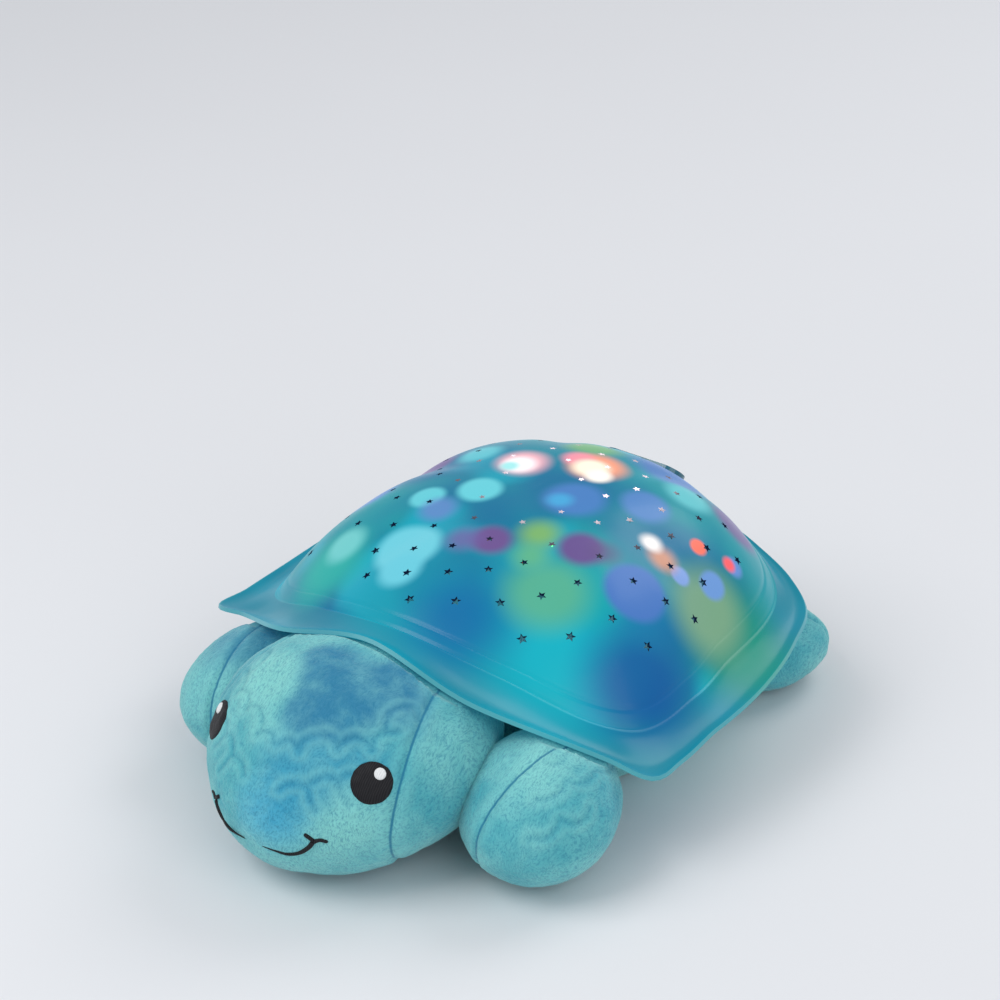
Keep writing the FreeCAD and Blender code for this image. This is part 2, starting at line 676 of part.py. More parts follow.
def arc_through(start, corner, end):
    """Arc that leaves one run and meets the next tangentially."""
    half_chord = (end - start).Length / 2.0
    chord_middle = (start + end) * 0.5
    reach = (corner - start).Length
    sagitta = half_chord * (reach - half_chord) / (corner - chord_middle).Length
    middle = chord_middle + (corner - chord_middle).normalize() * sagitta
    return Part.Arc(start, middle, end).toShape()


def board_back(x):
    """Point on the control board's rear face, and the point that a lead reaches it from."""
    placement = panel_placement()
    level = board_front() - CONTROL_BOARD
    return placement.multVec(V(x, 0, level)), placement.multVec(V(x, 0, level - LEAD_LAST_RUN))


def make_battery_lead():
    """Wire from the battery bay's roof through the tray to the control board."""
    end, approach = board_back(LEAD_SIDE)
    hole = lead_hole()
    foot = V(hole.x, hole.y - LEAD_START_INSET, bay_roof() + HOUSING_WALL)
    bend = V(hole.x, hole.y + LEAD_BEND_OUT, TRAY_TOP + LEAD_ABOVE_TRAY)
    return make_lead("battery_lead", [foot, foot + UP * LEAD_RISE, bend, approach, end])


def make_lamp_lead():
    """Wire from the lamp board to the control board."""
    end, approach = board_back(-LEAD_SIDE)
    foot = V(-LEAD_SIDE, LAMP_LEAD_START, led_board_top())
    return make_lead("lamp_lead", [foot, foot + V(*LAMP_LEAD_RISE), approach, end])


def oval(middle, across, upwards):
    """Closed oval of four quarter ellipses round a point, from its two half axes as vectors."""
    corners = [across, upwards, -across, -upwards]
    edges = []
    for first, second in zip(corners, corners[1:] + corners[:1]):
        curve = Part.BezierCurve()
        curve.setPoles([middle + first, middle + first + second, middle + second])
        curve.setWeight(2, math.sqrt(0.5))
        edges.append(curve.toShape())
    return Part.Wire(edges)


def on_the_ground(form):
    """Cut a stuffed form flat where it rests."""
    return form.cut(block(FAR, 2.0 * FAR, -FAR, 0.0))


def make_torso():
    """Stuffed body under the tray, with a well for the battery housing."""
    top = TRAY_TOP - TRAY_PLATE - HARD_GAP
    lift = top - TORSO[-1][0]
    ovals = [oval(V(0, TORSO_MIDDLE, height + (lift if height > 0.0 else -REST_FLAT)), V(x, 0, 0), V(0, y, 0))
             for height, x, y in TORSO]
    torso = on_the_ground(Part.makeLoft(ovals, True, False))
    gap = 2.0 * SOFT_GAP
    return torso.cut(block(HOUSING_LENGTH + gap, HOUSING_WIDTH + gap, -OVERCUT, FAR))


def limb(rows, forward):
    """Stuffed form along y through ovals, forward -1 towards the head and 1 towards the tail."""
    ovals = [oval(V(0, forward * along, middle), V(width, 0, 0), V(0, 0, height))
             for along, width, height, middle in rows]
    return on_the_ground(Part.makeLoft(ovals, True, False))


def make_flipper(x, y, width, length, height, turned):
    """Rounded flipper, longest along its own direction, which is turned from the front about +Z."""
    angle = math.radians(turned)
    along = V(math.sin(angle), -math.cos(angle), 0)
    across = V(math.cos(angle), math.sin(angle), 0)
    middle = V(x, y, height - REST_FLAT)
    ovals = []
    for index in range(FLIPPER_STATIONS + 1):
        place = -FLIPPER_END * math.cos(math.pi * index / FLIPPER_STATIONS)
        swell = math.sqrt(1.0 - place * place)
        ovals.append(oval(middle + along * (length * place), across * (width * swell), UP * (height * swell)))
    return on_the_ground(Part.makeLoft(ovals, True, False))


def make_eye(side):
    """Round sewn eye, let into the head and slightly proud of it."""
    x, y, z = EYE_PLACE
    aim = V(side * EYE_AIM[0], EYE_AIM[1], EYE_AIM[2]).normalize()
    face = V(side * x, y, z)
    return rod(EYE_RADIUS, face - aim * EYE_DEPTH, face + aim * EYE_PROUD)


def hard_room():
    """Space that the shell and tray need, which the stuffed pieces are cut back from."""
    over_brim = ring_prism(BRIM_RADIUS, SOFT_GAP, OVERCUT, SHELL_APEX + 10.0).cut(under_shell(SHELL_WALL + SOFT_GAP))
    tray = ring_prism(CREASE_RADIUS, SOFT_GAP - TRAY_INSET, TRAY_TOP - TRAY_PLATE - SOFT_GAP, SHELL_APEX)
    return [over_brim, tray]


def write(name, shape):
    """Move a piece to the object's origin and write it."""
    moved = shape.copy()
    moved.translate(V(0, (HEAD[-1][0] - TAIL[-1][0]) / 2.0, 0))
    solids = moved.Solids
    moved = solids[0] if len(solids) == 1 else Part.makeCompound(solids)
    moved.exportStep("parts/" + name + ".step")
    print(name, len(solids), "solids", round(moved.Volume), "mm3", "valid" if moved.isValid() else "NOT VALID")


def main():
    """Build and write every piece."""
    os.makedirs("parts", exist_ok=True)
    write("shell", make_shell())
    write("base_tray", make_base_tray())
    write("shell_screws", make_shell_screws())
    write("housing_screws", make_housing_screws())
    write("lamp_tower", make_lamp_tower())
    write("led_board", make_led_board())
    for index, colour in enumerate(LED_COLOURS):
        write("led_" + colour, make_led(index))
    write("control_panel", make_control_panel())
    write("control_board", make_control_board())
    write("tact_switches", make_tact_switches())
    for name, x in zip(BUTTON_NAMES, button_places()):
        write("button_" + name, make_button(x))
    write("battery_housing", make_battery_housing())
    write("battery_door", make_battery_door())
    write("door_screw", make_door_screw())
    for index, (y, end) in enumerate(cell_rows()):
        write("battery_" + str(index + 1), make_battery(y, end))
    write("contact_springs", make_contact_springs())
    write("contact_plates", make_contact_plates())
    write("battery_lead", make_battery_lead())
    write("lamp_lead", make_lamp_lead())
    room = hard_room()
    torso = make_torso()
    write("torso", torso)
    eyes = {"eye_left": make_eye(1.0), "eye_right": make_eye(-1.0)}
    head = limb(HEAD, -1.0).cut(room + [torso])
    write("head", head.cut(list(eyes.values())))
    for name, eye in eyes.items():
        write(name, eye)
    for name, sizes in FLIPPERS.items():
        write(name, make_flipper(*sizes).cut(room + [torso, head]))
    write("tail", limb(TAIL, 1.0).cut([torso]))


main()
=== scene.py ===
"""Looks of a plush turtle night light with a hard star shell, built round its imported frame."""

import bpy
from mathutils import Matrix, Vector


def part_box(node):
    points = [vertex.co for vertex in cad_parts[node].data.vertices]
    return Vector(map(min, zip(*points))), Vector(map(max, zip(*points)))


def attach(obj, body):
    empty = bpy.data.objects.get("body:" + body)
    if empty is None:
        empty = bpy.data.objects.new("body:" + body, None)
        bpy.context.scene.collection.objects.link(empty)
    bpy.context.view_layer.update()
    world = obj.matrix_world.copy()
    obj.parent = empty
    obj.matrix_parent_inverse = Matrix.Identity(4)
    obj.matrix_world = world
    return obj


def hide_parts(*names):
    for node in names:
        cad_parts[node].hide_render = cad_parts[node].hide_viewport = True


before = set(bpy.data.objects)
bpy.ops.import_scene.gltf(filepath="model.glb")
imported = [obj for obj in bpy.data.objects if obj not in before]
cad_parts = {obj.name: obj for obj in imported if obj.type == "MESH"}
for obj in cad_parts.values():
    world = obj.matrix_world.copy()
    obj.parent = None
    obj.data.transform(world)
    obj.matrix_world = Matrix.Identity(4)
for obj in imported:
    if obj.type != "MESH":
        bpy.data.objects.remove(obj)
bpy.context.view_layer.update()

import logging
import math
from collections.abc import Iterable, Sequence
from dataclasses import dataclass, field, replace
from enum import Enum

import bmesh
import bpy
from mathutils import Matrix, Vector, noise
from mathutils.bvhtree import BVHTree
from mathutils.kdtree import KDTree

logging.basicConfig(level=logging.INFO, format="%(message)s")
log = logging.getLogger("turtle")

MM = 0.001
AXIS_Y = 48.0  # millimetres from the frame's origin to the shell's axis
SHELL_AXIS = Vector((0.0, AXIS_Y * MM, 0.0))
UP = Vector((0, 0, 1))
WARP = 0.014  # metres by which the pile's pattern is bent at most
Colour = tuple[float, float, float]
Table = tuple[tuple[float, float], ...]
Line = tuple[tuple[float, float], ...]
Sections = tuple[tuple[float, float, float, float], ...]
# Colours of the patches of painted light and shade on the plush.
BLUE: Colour = (0.038, 0.23, 0.39)
SKY: Colour = (0.05, 0.34, 0.50)
BRIGHT: Colour = (0.04, 0.38, 0.62)
PALE: Colour = (0.26, 0.68, 0.64)


class Body(Enum):
    """Rigid bodies of the frame that new pieces ride on."""

    TURTLE = "turtle"


class Ramp(Enum):
    """How a ramp runs between its two limits."""

    EVEN = "LINEAR"
    SOFT = "SMOOTHSTEP"


class Slot(Enum):
    """Names of the record's material slots."""

    SHELL = "shell"
    PLUSH = "plush"
    EYE = "eye"


def smooth(value: float) -> float:
    """Rise smoothly from 0 to 1 while the value goes from 0 to 1.

    Args:
        value: Any number; below 0 gives 0 and above 1 gives 1.

    Returns:
        The eased value.
    """
    value = min(max(value, 0.0), 1.0)
    return value * value * (3.0 - 2.0 * value)


def curve_value(rows: Sequence[tuple[float, float]], place: float) -> float:
    """Read a smooth curve that passes through rows of (place, value).

    Args:
        rows: Rows in rising order of place.
        place: Where to read the curve, inside the rows.

    Returns:
        The curve's value.
    """
    last = len(rows) - 1
    index = 0
    while index < last - 1 and rows[index + 1][0] < place:
        index += 1
    (x1, v1), (x2, v2) = rows[index], rows[index + 1]
    x0, v0 = rows[index - 1] if index > 0 else (2 * x1 - x2, 2 * v1 - v2)
    x3, v3 = rows[index + 2] if index + 2 <= last else (2 * x2 - x1, 2 * v2 - v1)
    t = min(max((place - x1) / (x2 - x1), 0.0), 1.0)
    slope1 = (v2 - v0) / (x2 - x0) * (x2 - x1)
    slope2 = (v3 - v1) / (x3 - x1) * (x2 - x1)
    return ((2 * t**3 - 3 * t**2 + 1) * v1 + (t**3 - 2 * t**2 + t) * slope1
            + (3 * t**2 - 2 * t**3) * v2 + (t**3 - t**2) * slope2)


def ring_value(table: Table, angle: float) -> float:
    """Read a table of (degrees from the front, value) that is mirrored to the other side.

    Args:
        table: Rows from 0 to 180 degrees.
        angle: Degrees from the front, either way round.

    Returns:
        The value at that angle.
    """
    angle = abs((angle + 180.0) % 360.0 - 180.0)
    before = [(-a, v) for a, v in table[1:3]][::-1]
    after = [(360.0 - a, v) for a, v in table[-3:-1]][::-1]
    return curve_value(before + list(table) + after, angle)


def new_object(name: str, bm: bmesh.types.BMesh) -> bpy.types.Object:
    """Turn a finished bmesh into an object in the scene.

    Args:
        name: Name of the piece.
        bm: The mesh, which is freed.

    Returns:
        The new object at the origin.
    """
    mesh = bpy.data.meshes.new(name)
    bm.to_mesh(mesh)
    bm.free()
    piece = bpy.data.objects.new(name, mesh)
    bpy.context.collection.objects.link(piece)
    mesh.shade_smooth()
    return piece


def apply_modifiers(piece: bpy.types.Object) -> None:
    """Replace a piece's mesh by what its modifiers make of it.

    Args:
        piece: The object to finish.
    """
    bpy.context.view_layer.update()
    graph = bpy.context.evaluated_depsgraph_get()
    mesh = bpy.data.meshes.new_from_object(piece.evaluated_get(graph), depsgraph=graph)
    mesh.name = piece.name
    piece.modifiers.clear()
    piece.data = mesh


def cut_away(piece: bpy.types.Object, cutter: bpy.types.Object) -> None:
    """Cut closed forms out of a piece, and drop them.

    Args:
        piece: The piece.
        cutter: The closed forms, whose walls keep their own material index.
    """
    cut = piece.modifiers.new("cut", "BOOLEAN")
    cut.operation = "DIFFERENCE"
    cut.solver = "EXACT"
    cut.material_mode = "INDEX"
    cut.object = cutter
    apply_modifiers(piece)
    bpy.data.objects.remove(cutter)


def point_tree(points: Sequence[Vector]) -> KDTree:
    """Search tree that gives the number of the nearest point.

    Args:
        points: The points.

    Returns:
        The tree.
    """
    tree = KDTree(len(points))
    for number, point in enumerate(points):
        tree.insert(point, number)
    tree.balance()
    return tree


def grow_ring(bm: bmesh.types.BMesh, loop: list[bmesh.types.BMVert]) -> list[bmesh.types.BMVert]:
    """Extrude a mesh's open edge by one ring that starts where the edge is.

    Args:
        bm: A mesh with one open edge.
        loop: The open edge's vertices in order.

    Returns:
        The new vertices in the same order.
    """
    edges = [e for e in bm.edges if e.is_boundary]
    grown = bmesh.ops.extrude_edge_only(bm, edges=edges)["geom"]
    fresh = [g for g in grown if isinstance(g, bmesh.types.BMVert)]
    tree = point_tree([v.co for v in fresh])
    return [fresh[tree.find(v.co)[1]] for v in loop]


def surface_tree(piece: bpy.types.Object) -> BVHTree:
    """Search tree of a piece's faces.

    Args:
        piece: The piece.

    Returns:
        The tree.
    """
    bm = bmesh.new()
    bm.from_mesh(piece.data)
    tree = BVHTree.FromBMesh(bm)
    bm.free()
    return tree


def dress(piece: bpy.types.Object, slot: Slot,
          *finishes: bpy.types.Material) -> bpy.types.Object:
    """Give a piece its finishes and let it ride on the turtle.

    Args:
        piece: The new object.
        slot: Not used.
        finishes: Materials in slot order.

    Returns:
        The same object.
    """
    piece.data.materials.clear()
    for finish in finishes:
        piece.data.materials.append(finish)
    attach(piece, Body.TURTLE.value)
    log.info("%s: %d faces", piece.name, len(piece.data.polygons))
    return piece


class Sheet:
    """A node tree that nodes are added to and joined in."""

    def __init__(self, tree: bpy.types.NodeTree) -> None:
        """Start on a material's or a group's node tree."""
        self.tree = tree

    def add(self, kind: str, **settings: object) -> bpy.types.Node:
        """Add a node.

        Args:
            kind: The node's type without its ShaderNode prefix.
            settings: Properties of the node, set before its sockets are used.

        Returns:
            The new node.
        """
        node = self.tree.nodes.new("ShaderNode" + kind)
        for name, value in settings.items():
            setattr(node, name, value)
        return node

    def join(self, source: bpy.types.NodeSocket, target: bpy.types.NodeSocket) -> None:
        """Link two sockets."""
        self.tree.links.new(source, target)

    def feed(self, socket: bpy.types.NodeSocket, value: object) -> None:
        """Give an input a socket to read, or a plain value.

        Args:
            socket: The input.
            value: A socket, a number, a vector, or a colour without its alpha.
        """
        if isinstance(value, bpy.types.NodeSocket):
            self.join(value, socket)
        elif socket.type == "RGBA":
            socket.default_value = (*value, 1.0)
        else:
            socket.default_value = value

    def fill(self, node: bpy.types.Node, *values: object) -> bpy.types.Node:
        """Feed a node's first inputs.

        Args:
            node: The node.
            values: Sockets or plain values, in the order of its inputs.

        Returns:
            The same node.
        """
        for socket, value in zip(node.inputs, values):
            self.feed(socket, value)
        return node

    def math(self, operation: str, *values: object) -> bpy.types.NodeSocket:
        """Result of a Math node on sockets or numbers."""
        return self.fill(self.add("Math", operation=operation), *values).outputs[0]

    def vector(self, operation: str, *values: object) -> bpy.types.Node:
        """Vector Math node on sockets or plain vectors."""
        return self.fill(self.add("VectorMath", operation=operation), *values)

    def mix(self, mask: object, under: object, over: object) -> bpy.types.NodeSocket:
        """Mix two colours by a mask.

        Args:
            mask: Socket or number from 0 to 1.
            under: Colour or socket where the mask is 0.
            over: Colour or socket where the mask is 1.

        Returns:
            The mixed colour.
        """
        node = self.add("Mix", data_type="RGBA")
        for number, value in ((0, mask), (6, under), (7, over)):
            self.feed(node.inputs[number], value)
        return node.outputs[2]

    def ramp(self, value: bpy.types.NodeSocket, start: object, end: object, first: float = 0.0,
             last: float = 1.0, way: Ramp = Ramp.SOFT) -> bpy.types.NodeSocket:
        """Go from one number to another while a value goes from a start to an end.

        Args:
            value: The value that is read.
            start: Where the ramp starts, a socket or a number.
            end: Where it ends, a socket or a number.
            first: Result up to the start.
            last: Result from the end on.
            way: How it runs in between.

        Returns:
            The ramp's result.
        """
        node = self.add("MapRange", interpolation_type=way.value)
        rows = {"Value": value, "From Min": start, "From Max": end, "To Min": first, "To Max": last}
        for label, given in rows.items():
            self.feed(node.inputs[label], given)
        return node.outputs["Result"]

    def place(self) -> bpy.types.NodeSocket:
        """Object coordinates of the shaded point."""
        return self.add("TexCoord").outputs["Object"]

    def mark(self, name: str) -> bpy.types.NodeSocket:
        """Number that the mesh carries under a name."""
        return self.add("Attribute", attribute_name=name).outputs["Fac"]

    def texture(self, kind: str, vector: bpy.types.NodeSocket, **values: object) -> bpy.types.Node:
        """Add a texture node on a vector.

        Args:
            kind: Noise or Wave.
            vector: The coordinates it reads.
            values: Its inputs by name.

        Returns:
            The texture node.
        """
        node = self.add("Tex" + kind)
        for name, value in {"Vector": vector, **values}.items():
            self.feed(node.inputs[name], value)
        return node

    def group(self, tree: bpy.types.NodeTree, **values: object) -> bpy.types.Node:
        """Place a shared group.

        Args:
            tree: The group.
            values: Its inputs by name, as sockets, numbers or tuples.

        Returns:
            The group's node.
        """
        node = self.add("Group")
        node.node_tree = tree
        for name, value in values.items():
            self.feed(node.inputs[name], value)
        return node


def new_group(name: str, inputs: dict[str, str],
              outputs: dict[str, str]) -> tuple[Sheet, dict, dict]:
    """Start a shared shader group.

    Args:
        name: The group's name.
        inputs: Socket type of each input by name.
        outputs: Socket type of each output by name.

    Returns:
        The sheet, the sockets that carry the inputs, and those that the outputs are joined to.
    """
    tree = bpy.data.node_groups.new(name, "ShaderNodeTree")
    for way, sockets in (("INPUT", inputs), ("OUTPUT", outputs)):
        for label, kind in sockets.items():
            tree.interface.new_socket(name=label, in_out=way, socket_type="NodeSocket" + kind)
    sheet = Sheet(tree)
    entry = tree.nodes.new("NodeGroupInput")
    leave = tree.nodes.new("NodeGroupOutput")
    return sheet, {k: entry.outputs[k] for k in inputs}, {k: leave.inputs[k] for k in outputs}


class Groups:
    """Shader groups that several finishes share, each built once."""

    def __init__(self) -> None:
        """Build every group."""
        self.pool = self.make_pool()
        self.pile = self.make_pile()
        self.moulding = self.make_moulding()

    @staticmethod
    def make_pool() -> bpy.types.NodeTree:
        """Round patch: 1 inside a radius, fading to 0 over an edge width.

        Returns:
            The group.
        """
        sheet, given, out = new_group(
            "round_patch",
            {"Place": "Vector", "Centre": "Vector", "Radius": "Float", "Edge": "Float"},
            {"Mask": "Float"})
        gap = sheet.vector("DISTANCE", given["Place"], given["Centre"]).outputs["Value"]
        inner = sheet.math("SUBTRACT", given["Radius"], given["Edge"])
        outer = sheet.math("ADD", given["Radius"], given["Edge"])
        sheet.join(sheet.ramp(gap, inner, outer, 1.0, 0.0), out["Mask"])
        return sheet.tree

    @staticmethod
    def make_pile() -> bpy.types.NodeTree:
        """Short brushed pile: fine streaks, soft brushed patches and a height.

        Returns:
            The group.
        """
        sheet, given, out = new_group(
            "velour_pile", {"Place": "Vector"},
            {"Streak": "Float", "Patch": "Float", "Height": "Float", "Warped": "Vector"})
        warp = sheet.texture("Noise", given["Place"], Scale=38.0, Detail=3.0)
        shift = sheet.vector("MULTIPLY_ADD", warp.outputs["Color"], (WARP,) * 3, given["Place"])
        warped = shift.outputs[0]
        stretch = sheet.add("Mapping")
        for label, value in {"Vector": warped, "Rotation": (0.5, 0.2, 0.35),
                             "Scale": (1.0, 0.3, 0.45)}.items():
            sheet.feed(stretch.inputs[label], value)
        streak = sheet.texture("Noise", stretch.outputs[0], Scale=1500.0, Detail=3.0,
                               Roughness=0.75)
        patch = sheet.texture("Noise", warped, Scale=70.0, Detail=4.0, Roughness=0.6)
        tuft = sheet.texture("Noise", warped, Scale=420.0, Detail=2.0, Roughness=0.6)
        height = sheet.math("MULTIPLY_ADD", streak.outputs["Fac"], 0.6, tuft.outputs["Fac"])
        sheet.join(streak.outputs["Fac"], out["Streak"])
        sheet.join(patch.outputs["Fac"], out["Patch"])
        sheet.join(height, out["Height"])
        sheet.join(warped, out["Warped"])
        return sheet.tree

    @staticmethod
    def make_moulding() -> bpy.types.NodeTree:
        """Moulded plastic: faint orange-peel height and uneven gloss.

        Returns:
            The group.
        """
        sheet, given, out = new_group(
            "moulded_skin", {"Place": "Vector", "Grain": "Float", "Gloss": "Float"},
            {"Roughness": "Float", "Height": "Float", "Tone": "Float"})
        peel = sheet.texture("Noise", given["Place"], Scale=given["Grain"], Detail=2.0)
        smear = sheet.texture("Noise", given["Place"], Scale=45.0, Detail=3.0)
        spread = sheet.math("MULTIPLY", sheet.math("SUBTRACT", smear.outputs["Fac"], 0.5), 0.22)
        sheet.join(sheet.math("ADD", given["Gloss"], spread), out["Roughness"])
        sheet.join(peel.outputs["Fac"], out["Height"])
        sheet.join(smear.outputs["Fac"], out["Tone"])
        return sheet.tree


def new_material(name: str) -> tuple[bpy.types.Material, Sheet, bpy.types.Node]:
    """Start a node material with its Principled shader.

    Args:
        name: The material's name.

    Returns:
        The material, its sheet and its Principled BSDF.
    """
    material = bpy.data.materials.new(name)
    material.use_nodes = True
    sheet = Sheet(material.node_tree)
    return material, sheet, material.node_tree.nodes["Principled BSDF"]


def bump(sheet: Sheet, shader: bpy.types.Node, height: bpy.types.NodeSocket, strength: float,
         depth: float) -> None:
    """Feed a height to a shader's normal through a Bump node.

    Args:
        sheet: The material's sheet.
        shader: The Principled BSDF.
        height: The height socket.
        strength: The bump's strength.
        depth: Its distance in metres.
    """
    node = sheet.add("Bump")
    for label, value in {"Strength": strength, "Distance": depth, "Height": height}.items():
        sheet.feed(node.inputs[label], value)
    sheet.join(node.outputs["Normal"], shader.inputs["Normal"])


def settle(shader: bpy.types.Node, **values: float | tuple[float, ...]) -> None:
    """Set inputs that are the same all over the surface.

    Args:
        shader: The Principled BSDF.
        values: Its inputs by name, with spaces written as underscores.
    """
    for name, value in values.items():
        shader.inputs[name.replace("_", " ")].default_value = value


def mould(sheet: Sheet, shader: bpy.types.Node, groups: Groups, colour: Colour, other: Colour,
          grain: float, gloss: float) -> bpy.types.NodeSocket:
    """Give a shader the uneven colour and gloss of a moulded skin.

    Args:
        sheet: The material's sheet.
        shader: The Principled BSDF.
        groups: Shared shader groups.
        colour: Its main colour.
        other: The colour that it drifts to.
        grain: Scale of the fine grain.
        gloss: Middle roughness.

    Returns:
        The skin's height, for a bump.
    """
    skin = sheet.group(groups.moulding, Place=sheet.place(), Grain=grain, Gloss=gloss)
    sheet.join(sheet.mix(skin.outputs["Tone"], colour, other), shader.inputs["Base Color"])
    sheet.join(skin.outputs["Roughness"], shader.inputs["Roughness"])
    return skin.outputs["Height"]


@dataclass(frozen=True)
class Patch:
    """A round patch of colour, in millimetres from the shell's axis or the object's origin."""

    place: tuple[float, float, float]
    radius: float
    edge: float
    colour: Colour
    strength: float = 1.0


def patch_mask(sheet: Sheet, groups: Groups, place: bpy.types.NodeSocket, patch: Patch,
               origin: Vector) -> bpy.types.NodeSocket:
    """Mask of a round patch, at its full strength.

    Args:
        sheet: The material's sheet.
        groups: Shared shader groups.
        place: Coordinates of the shaded point.
        patch: The patch.
        origin: Where its place is counted from, in metres.

    Returns:
        The mask.
    """
    node = sheet.group(groups.pool, Place=place, Centre=(Vector(patch.place) * MM + origin)[:],
                       Radius=patch.radius * MM, Edge=patch.edge * MM)
    return node.outputs["Mask"]


def paint(sheet: Sheet, groups: Groups, place: bpy.types.NodeSocket, patches: Iterable[Patch],
          origin: Vector, colour: bpy.types.NodeSocket) -> bpy.types.NodeSocket:
    """Lay round patches over a colour, one on the other.

    Args:
        sheet: The material's sheet.
        groups: Shared shader groups.
        place: Coordinates of the shaded point.
        patches: The patches.
        origin: Where their places are counted from, in metres.
        colour: The colour under them.

    Returns:
        The painted colour.
    """
    for patch in patches:
        mask = patch_mask(sheet, groups, place, patch, origin)
        colour = sheet.mix(sheet.math("MULTIPLY", mask, patch.strength), colour, patch.colour)
    return colour


@dataclass(frozen=True)
class Plastic:
    """Plain moulded plastic."""

    name: str
    colour: Colour
    gloss: float = 0.35
    grain: float = 1800.0
    coat: float = 0.0
    shade: float = 0.82

    def make(self, groups: Groups) -> bpy.types.Material:
        """Build the material.

        Args:
            groups: Shared shader groups.

        Returns:
            The material.
        """
        material, sheet, shader = new_material(self.name)
        darker = tuple(self.shade * part for part in self.colour)
        height = mould(sheet, shader, groups, self.colour, darker, self.grain, self.gloss)
        settle(shader, Coat_Weight=self.coat)
        bump(sheet, shader, height, strength=0.25, depth=0.0001)
        return material


@dataclass(frozen=True)
class Metal:
    """Plated metal with fine brushing."""

    name: str
    colour: Colour
    roughness: float = 0.3
    grain: float = 5200.0
    shade: float = 0.7

    def make(self, groups: Groups) -> bpy.types.Material:
        """Build the material.

        Args:
            groups: Shared shader groups.

        Returns:
            The material.
        """
        material, sheet, shader = new_material(self.name)
        darker = tuple(self.shade * part for part in self.colour)
        height = mould(sheet, shader, groups, self.colour, darker, self.grain, self.roughness)
        settle(shader, Metallic=1.0)
        bump(sheet, shader, height, strength=0.15, depth=0.00005)
        return material


@dataclass(frozen=True)
class Lens:
    """Tinted lamp plastic that glows."""

    name: str
    colour: Colour
    glow: float = 4.0
    grain: float = 900.0
    gloss: float = 0.12

    def make(self, groups: Groups) -> bpy.types.Material:
        """Build the material.

        Args:
            groups: Shared shader groups.

        Returns:
            The material.
        """
        material, sheet, shader = new_material(self.name)
        pale = tuple(0.5 + 0.5 * part for part in self.colour)
        mould(sheet, shader, groups, self.colour, pale, self.grain, self.gloss)
        settle(shader, Emission_Color=(*self.colour, 1.0), Emission_Strength=self.glow)
        return material


